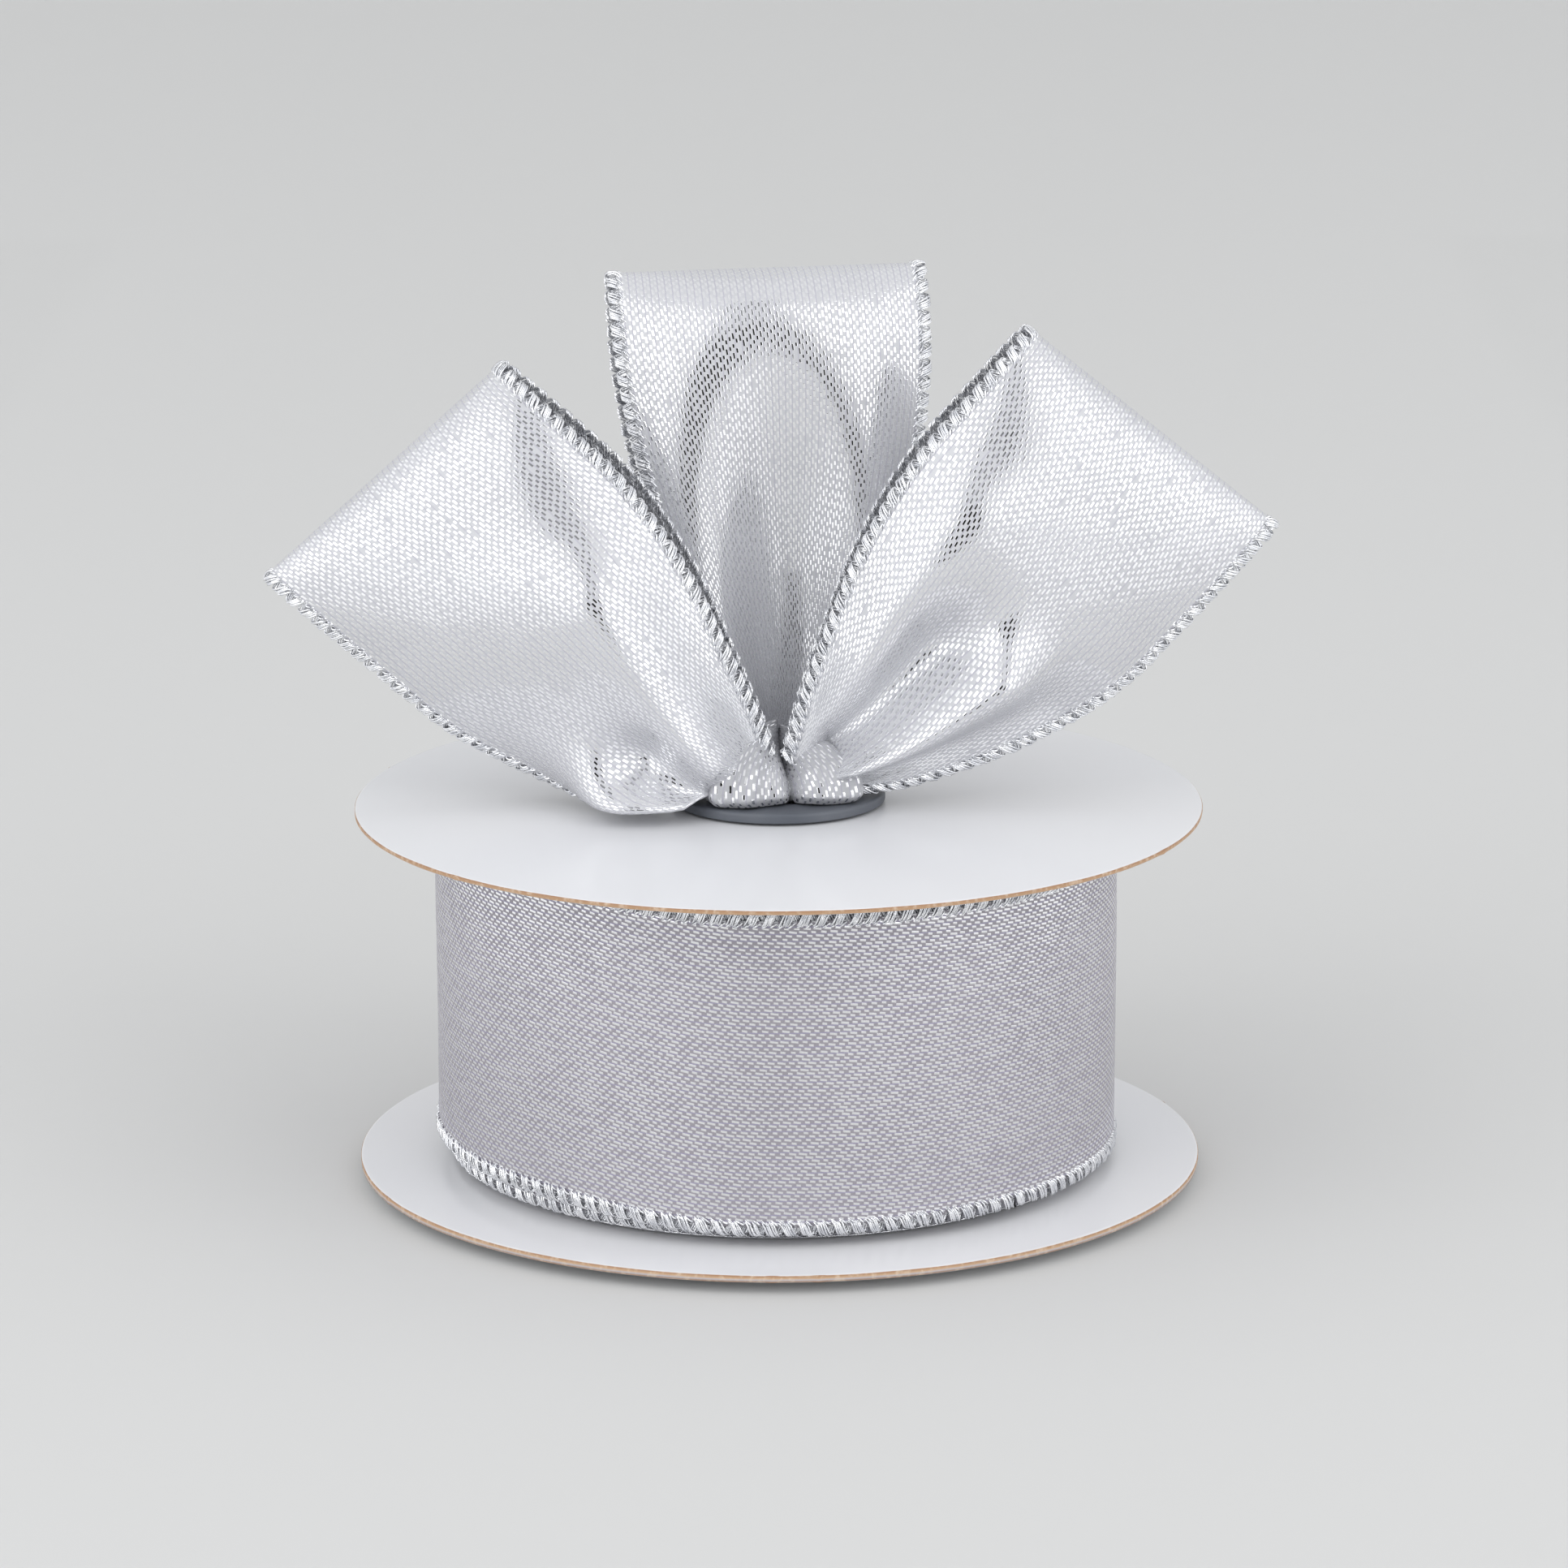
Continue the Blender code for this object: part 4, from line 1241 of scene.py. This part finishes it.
# %% The gathered ends
STEM_COLUMNS = 289
STEM_ROWS = 44
STEM_FOLDS = 8
STEM_TWIST = 0.9  # radians over its height
STEM_FLUTES = 19
FLUTE_DEPTH = 0.1 * MM
BUNDLE_PLAY = 0.1 * MM  # between the bundle and its solid
FOLD_DEPTH = (1.2 * MM, 0.3 * MM)  # in the bundle and in its neck
NECK_RADIUS = 3.9 * MM
NECK_HEIGHTS = (4.4 * MM, 2.6 * MM)  # below the hub's top, where the neck begins and is narrowest
FOOT_HEIGHTS = (16.5 * MM, 18.0 * MM)
FOOT_NARROWS = 0.25
HEAD_ROWS = 64
HEAD_PLEATS = 17
PLEAT_SHARE = 0.035  # of the radius
PLEAT_HEIGHT = 0.08 * MM
HEAD_OPENS = (1.0, 3.0)  # places in the profile between which the neck becomes the lip's form
LIP_HEIGHT = 0.9 * MM
GATHERED_WIDTH = 72 * MM  # of the cloth round the bundle
# The head's profile: shares of the way from the axis to the lip, and millimetres above the hub.
HEAD_SHARES = (0.62, 0.60, 0.74, 0.93, 1.0, 0.97, 0.84, 0.6, 0.3, 0.02)
HEAD_HEIGHTS = (-2.6, -1.4, 0.1, 0.35, 1.1, 2.1, 3.2, 4.1, 4.6, 4.7)


def stem_rows(angles, foot, neck, full):
    """The twisted bundle from its foot to the neck, in heights above the hub's top."""
    for height in np.linspace(foot, neck, STEM_ROWS, endpoint=False):
        narrow = smooth_step(-height, *NECK_HEIGHTS)
        radius = full + (NECK_RADIUS - full) * narrow
        radius *= 1 - FOOT_NARROWS * smooth_step(-height, *FOOT_HEIGHTS)
        turn = STEM_TWIST * (height - foot) / (neck - foot)
        fold = (0.5 - 0.5 * np.cos(STEM_FOLDS * angles + turn)) ** 1.5
        depth = FOLD_DEPTH[0] + (FOLD_DEPTH[1] - FOLD_DEPTH[0]) * narrow
        flutes = FLUTE_DEPTH * (1 + np.sin(STEM_FLUTES * angles))
        yield round_points(radius - depth * fold - flutes, angles, HUB_TOP + height)


def head_rows(angles):
    """The head: the bunched cloth that rolls out over the hub."""
    lip = LIP + swells(angles, LIP_FOLDS) + swells(angles, CREASES)
    taller = swells(angles, TALL_FOLDS)
    pleat = np.cos(HEAD_PLEATS * angles + 1.3 * np.sin(3 * angles))
    places = np.arange(len(HEAD_SHARES))
    for place in np.linspace(0, places[-1], HEAD_ROWS):
        share = np.interp(place, places, HEAD_SHARES)
        height = np.interp(place, places, HEAD_HEIGHTS) * MM
        opened = smooth_step(place, *HEAD_OPENS)
        radius = NECK_RADIUS + (lip * share - NECK_RADIUS) * opened
        radius = radius * (1 + PLEAT_SHARE * pleat * opened * share)
        raised = height + taller * max(0.0, height - LIP_HEIGHT) + PLEAT_HEIGHT * pleat * opened
        yield round_points(radius, angles, HUB_TOP + raised)


def make_stem():
    low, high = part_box("bow_stem")
    angles = np.linspace(0, math.tau, STEM_COLUMNS)
    bundle = stem_rows(angles, low.z - HUB_TOP, HEAD_HEIGHTS[0] * MM, high.x - BUNDLE_PLAY)
    grid = np.array([*bundle, *head_rows(angles)])
    # its material's darker yarn and lower foil cover are painted shade
    piece = ribbon_sheet("bow_gathered_ends", grid, shaded_gather_material, GATHERED_WIDTH)
    belongs(piece, "bow", "bow_stem")


make_stem()
print("gathered ends", HEAD_HEIGHTS[-1], "mm over the hub")

# %% The tie and the tape
WIRE_COLOURS = (0.55, 0.55, 0.58), (0.70, 0.70, 0.72)
FILM_COLOUR = (0.82, 0.82, 0.80)
FILM_ROUGHNESS = (0.08, 0.22)
FILM_ALPHA = (0.18, 0.28)
WIRE_FIBRES, FILM_STREAKS = 2400.0, 300.0  # lumps to the metre


def make_wire_material():
    material, tree = new_material("covered_wire")
    fibre = tree.noise(tree.place(), WIRE_FIBRES)
    colour = blend(ramp(fibre, *NOISE_MIDDLE), *WIRE_COLOURS)
    tree.surface(Base_Color=colour, Roughness=0.6, bumps=fibre, depth=0.04 * MM, strength=0.6)
    return material


def make_tape_material():
    material, tree = new_material("clear_film")
    streak = tree.noise(tree.place(), FILM_STREAKS)
    tree.surface(
        Base_Color=FILM_COLOUR,
        Roughness=ramp(streak, *NOISE_RANGE, *FILM_ROUGHNESS),
        Alpha=ramp(streak, *NOISE_RANGE, *FILM_ALPHA),
    )
    return material


dress("bow_tie", make_wire_material())
dress("tail_tape", make_tape_material())
print("tie and tape dressed")

# %% [markdown]
# ## The end
#
# The stitched edges of each loop are taken as a list.

# %% The end
for cloth, edges, length in loops.values():
    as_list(edges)
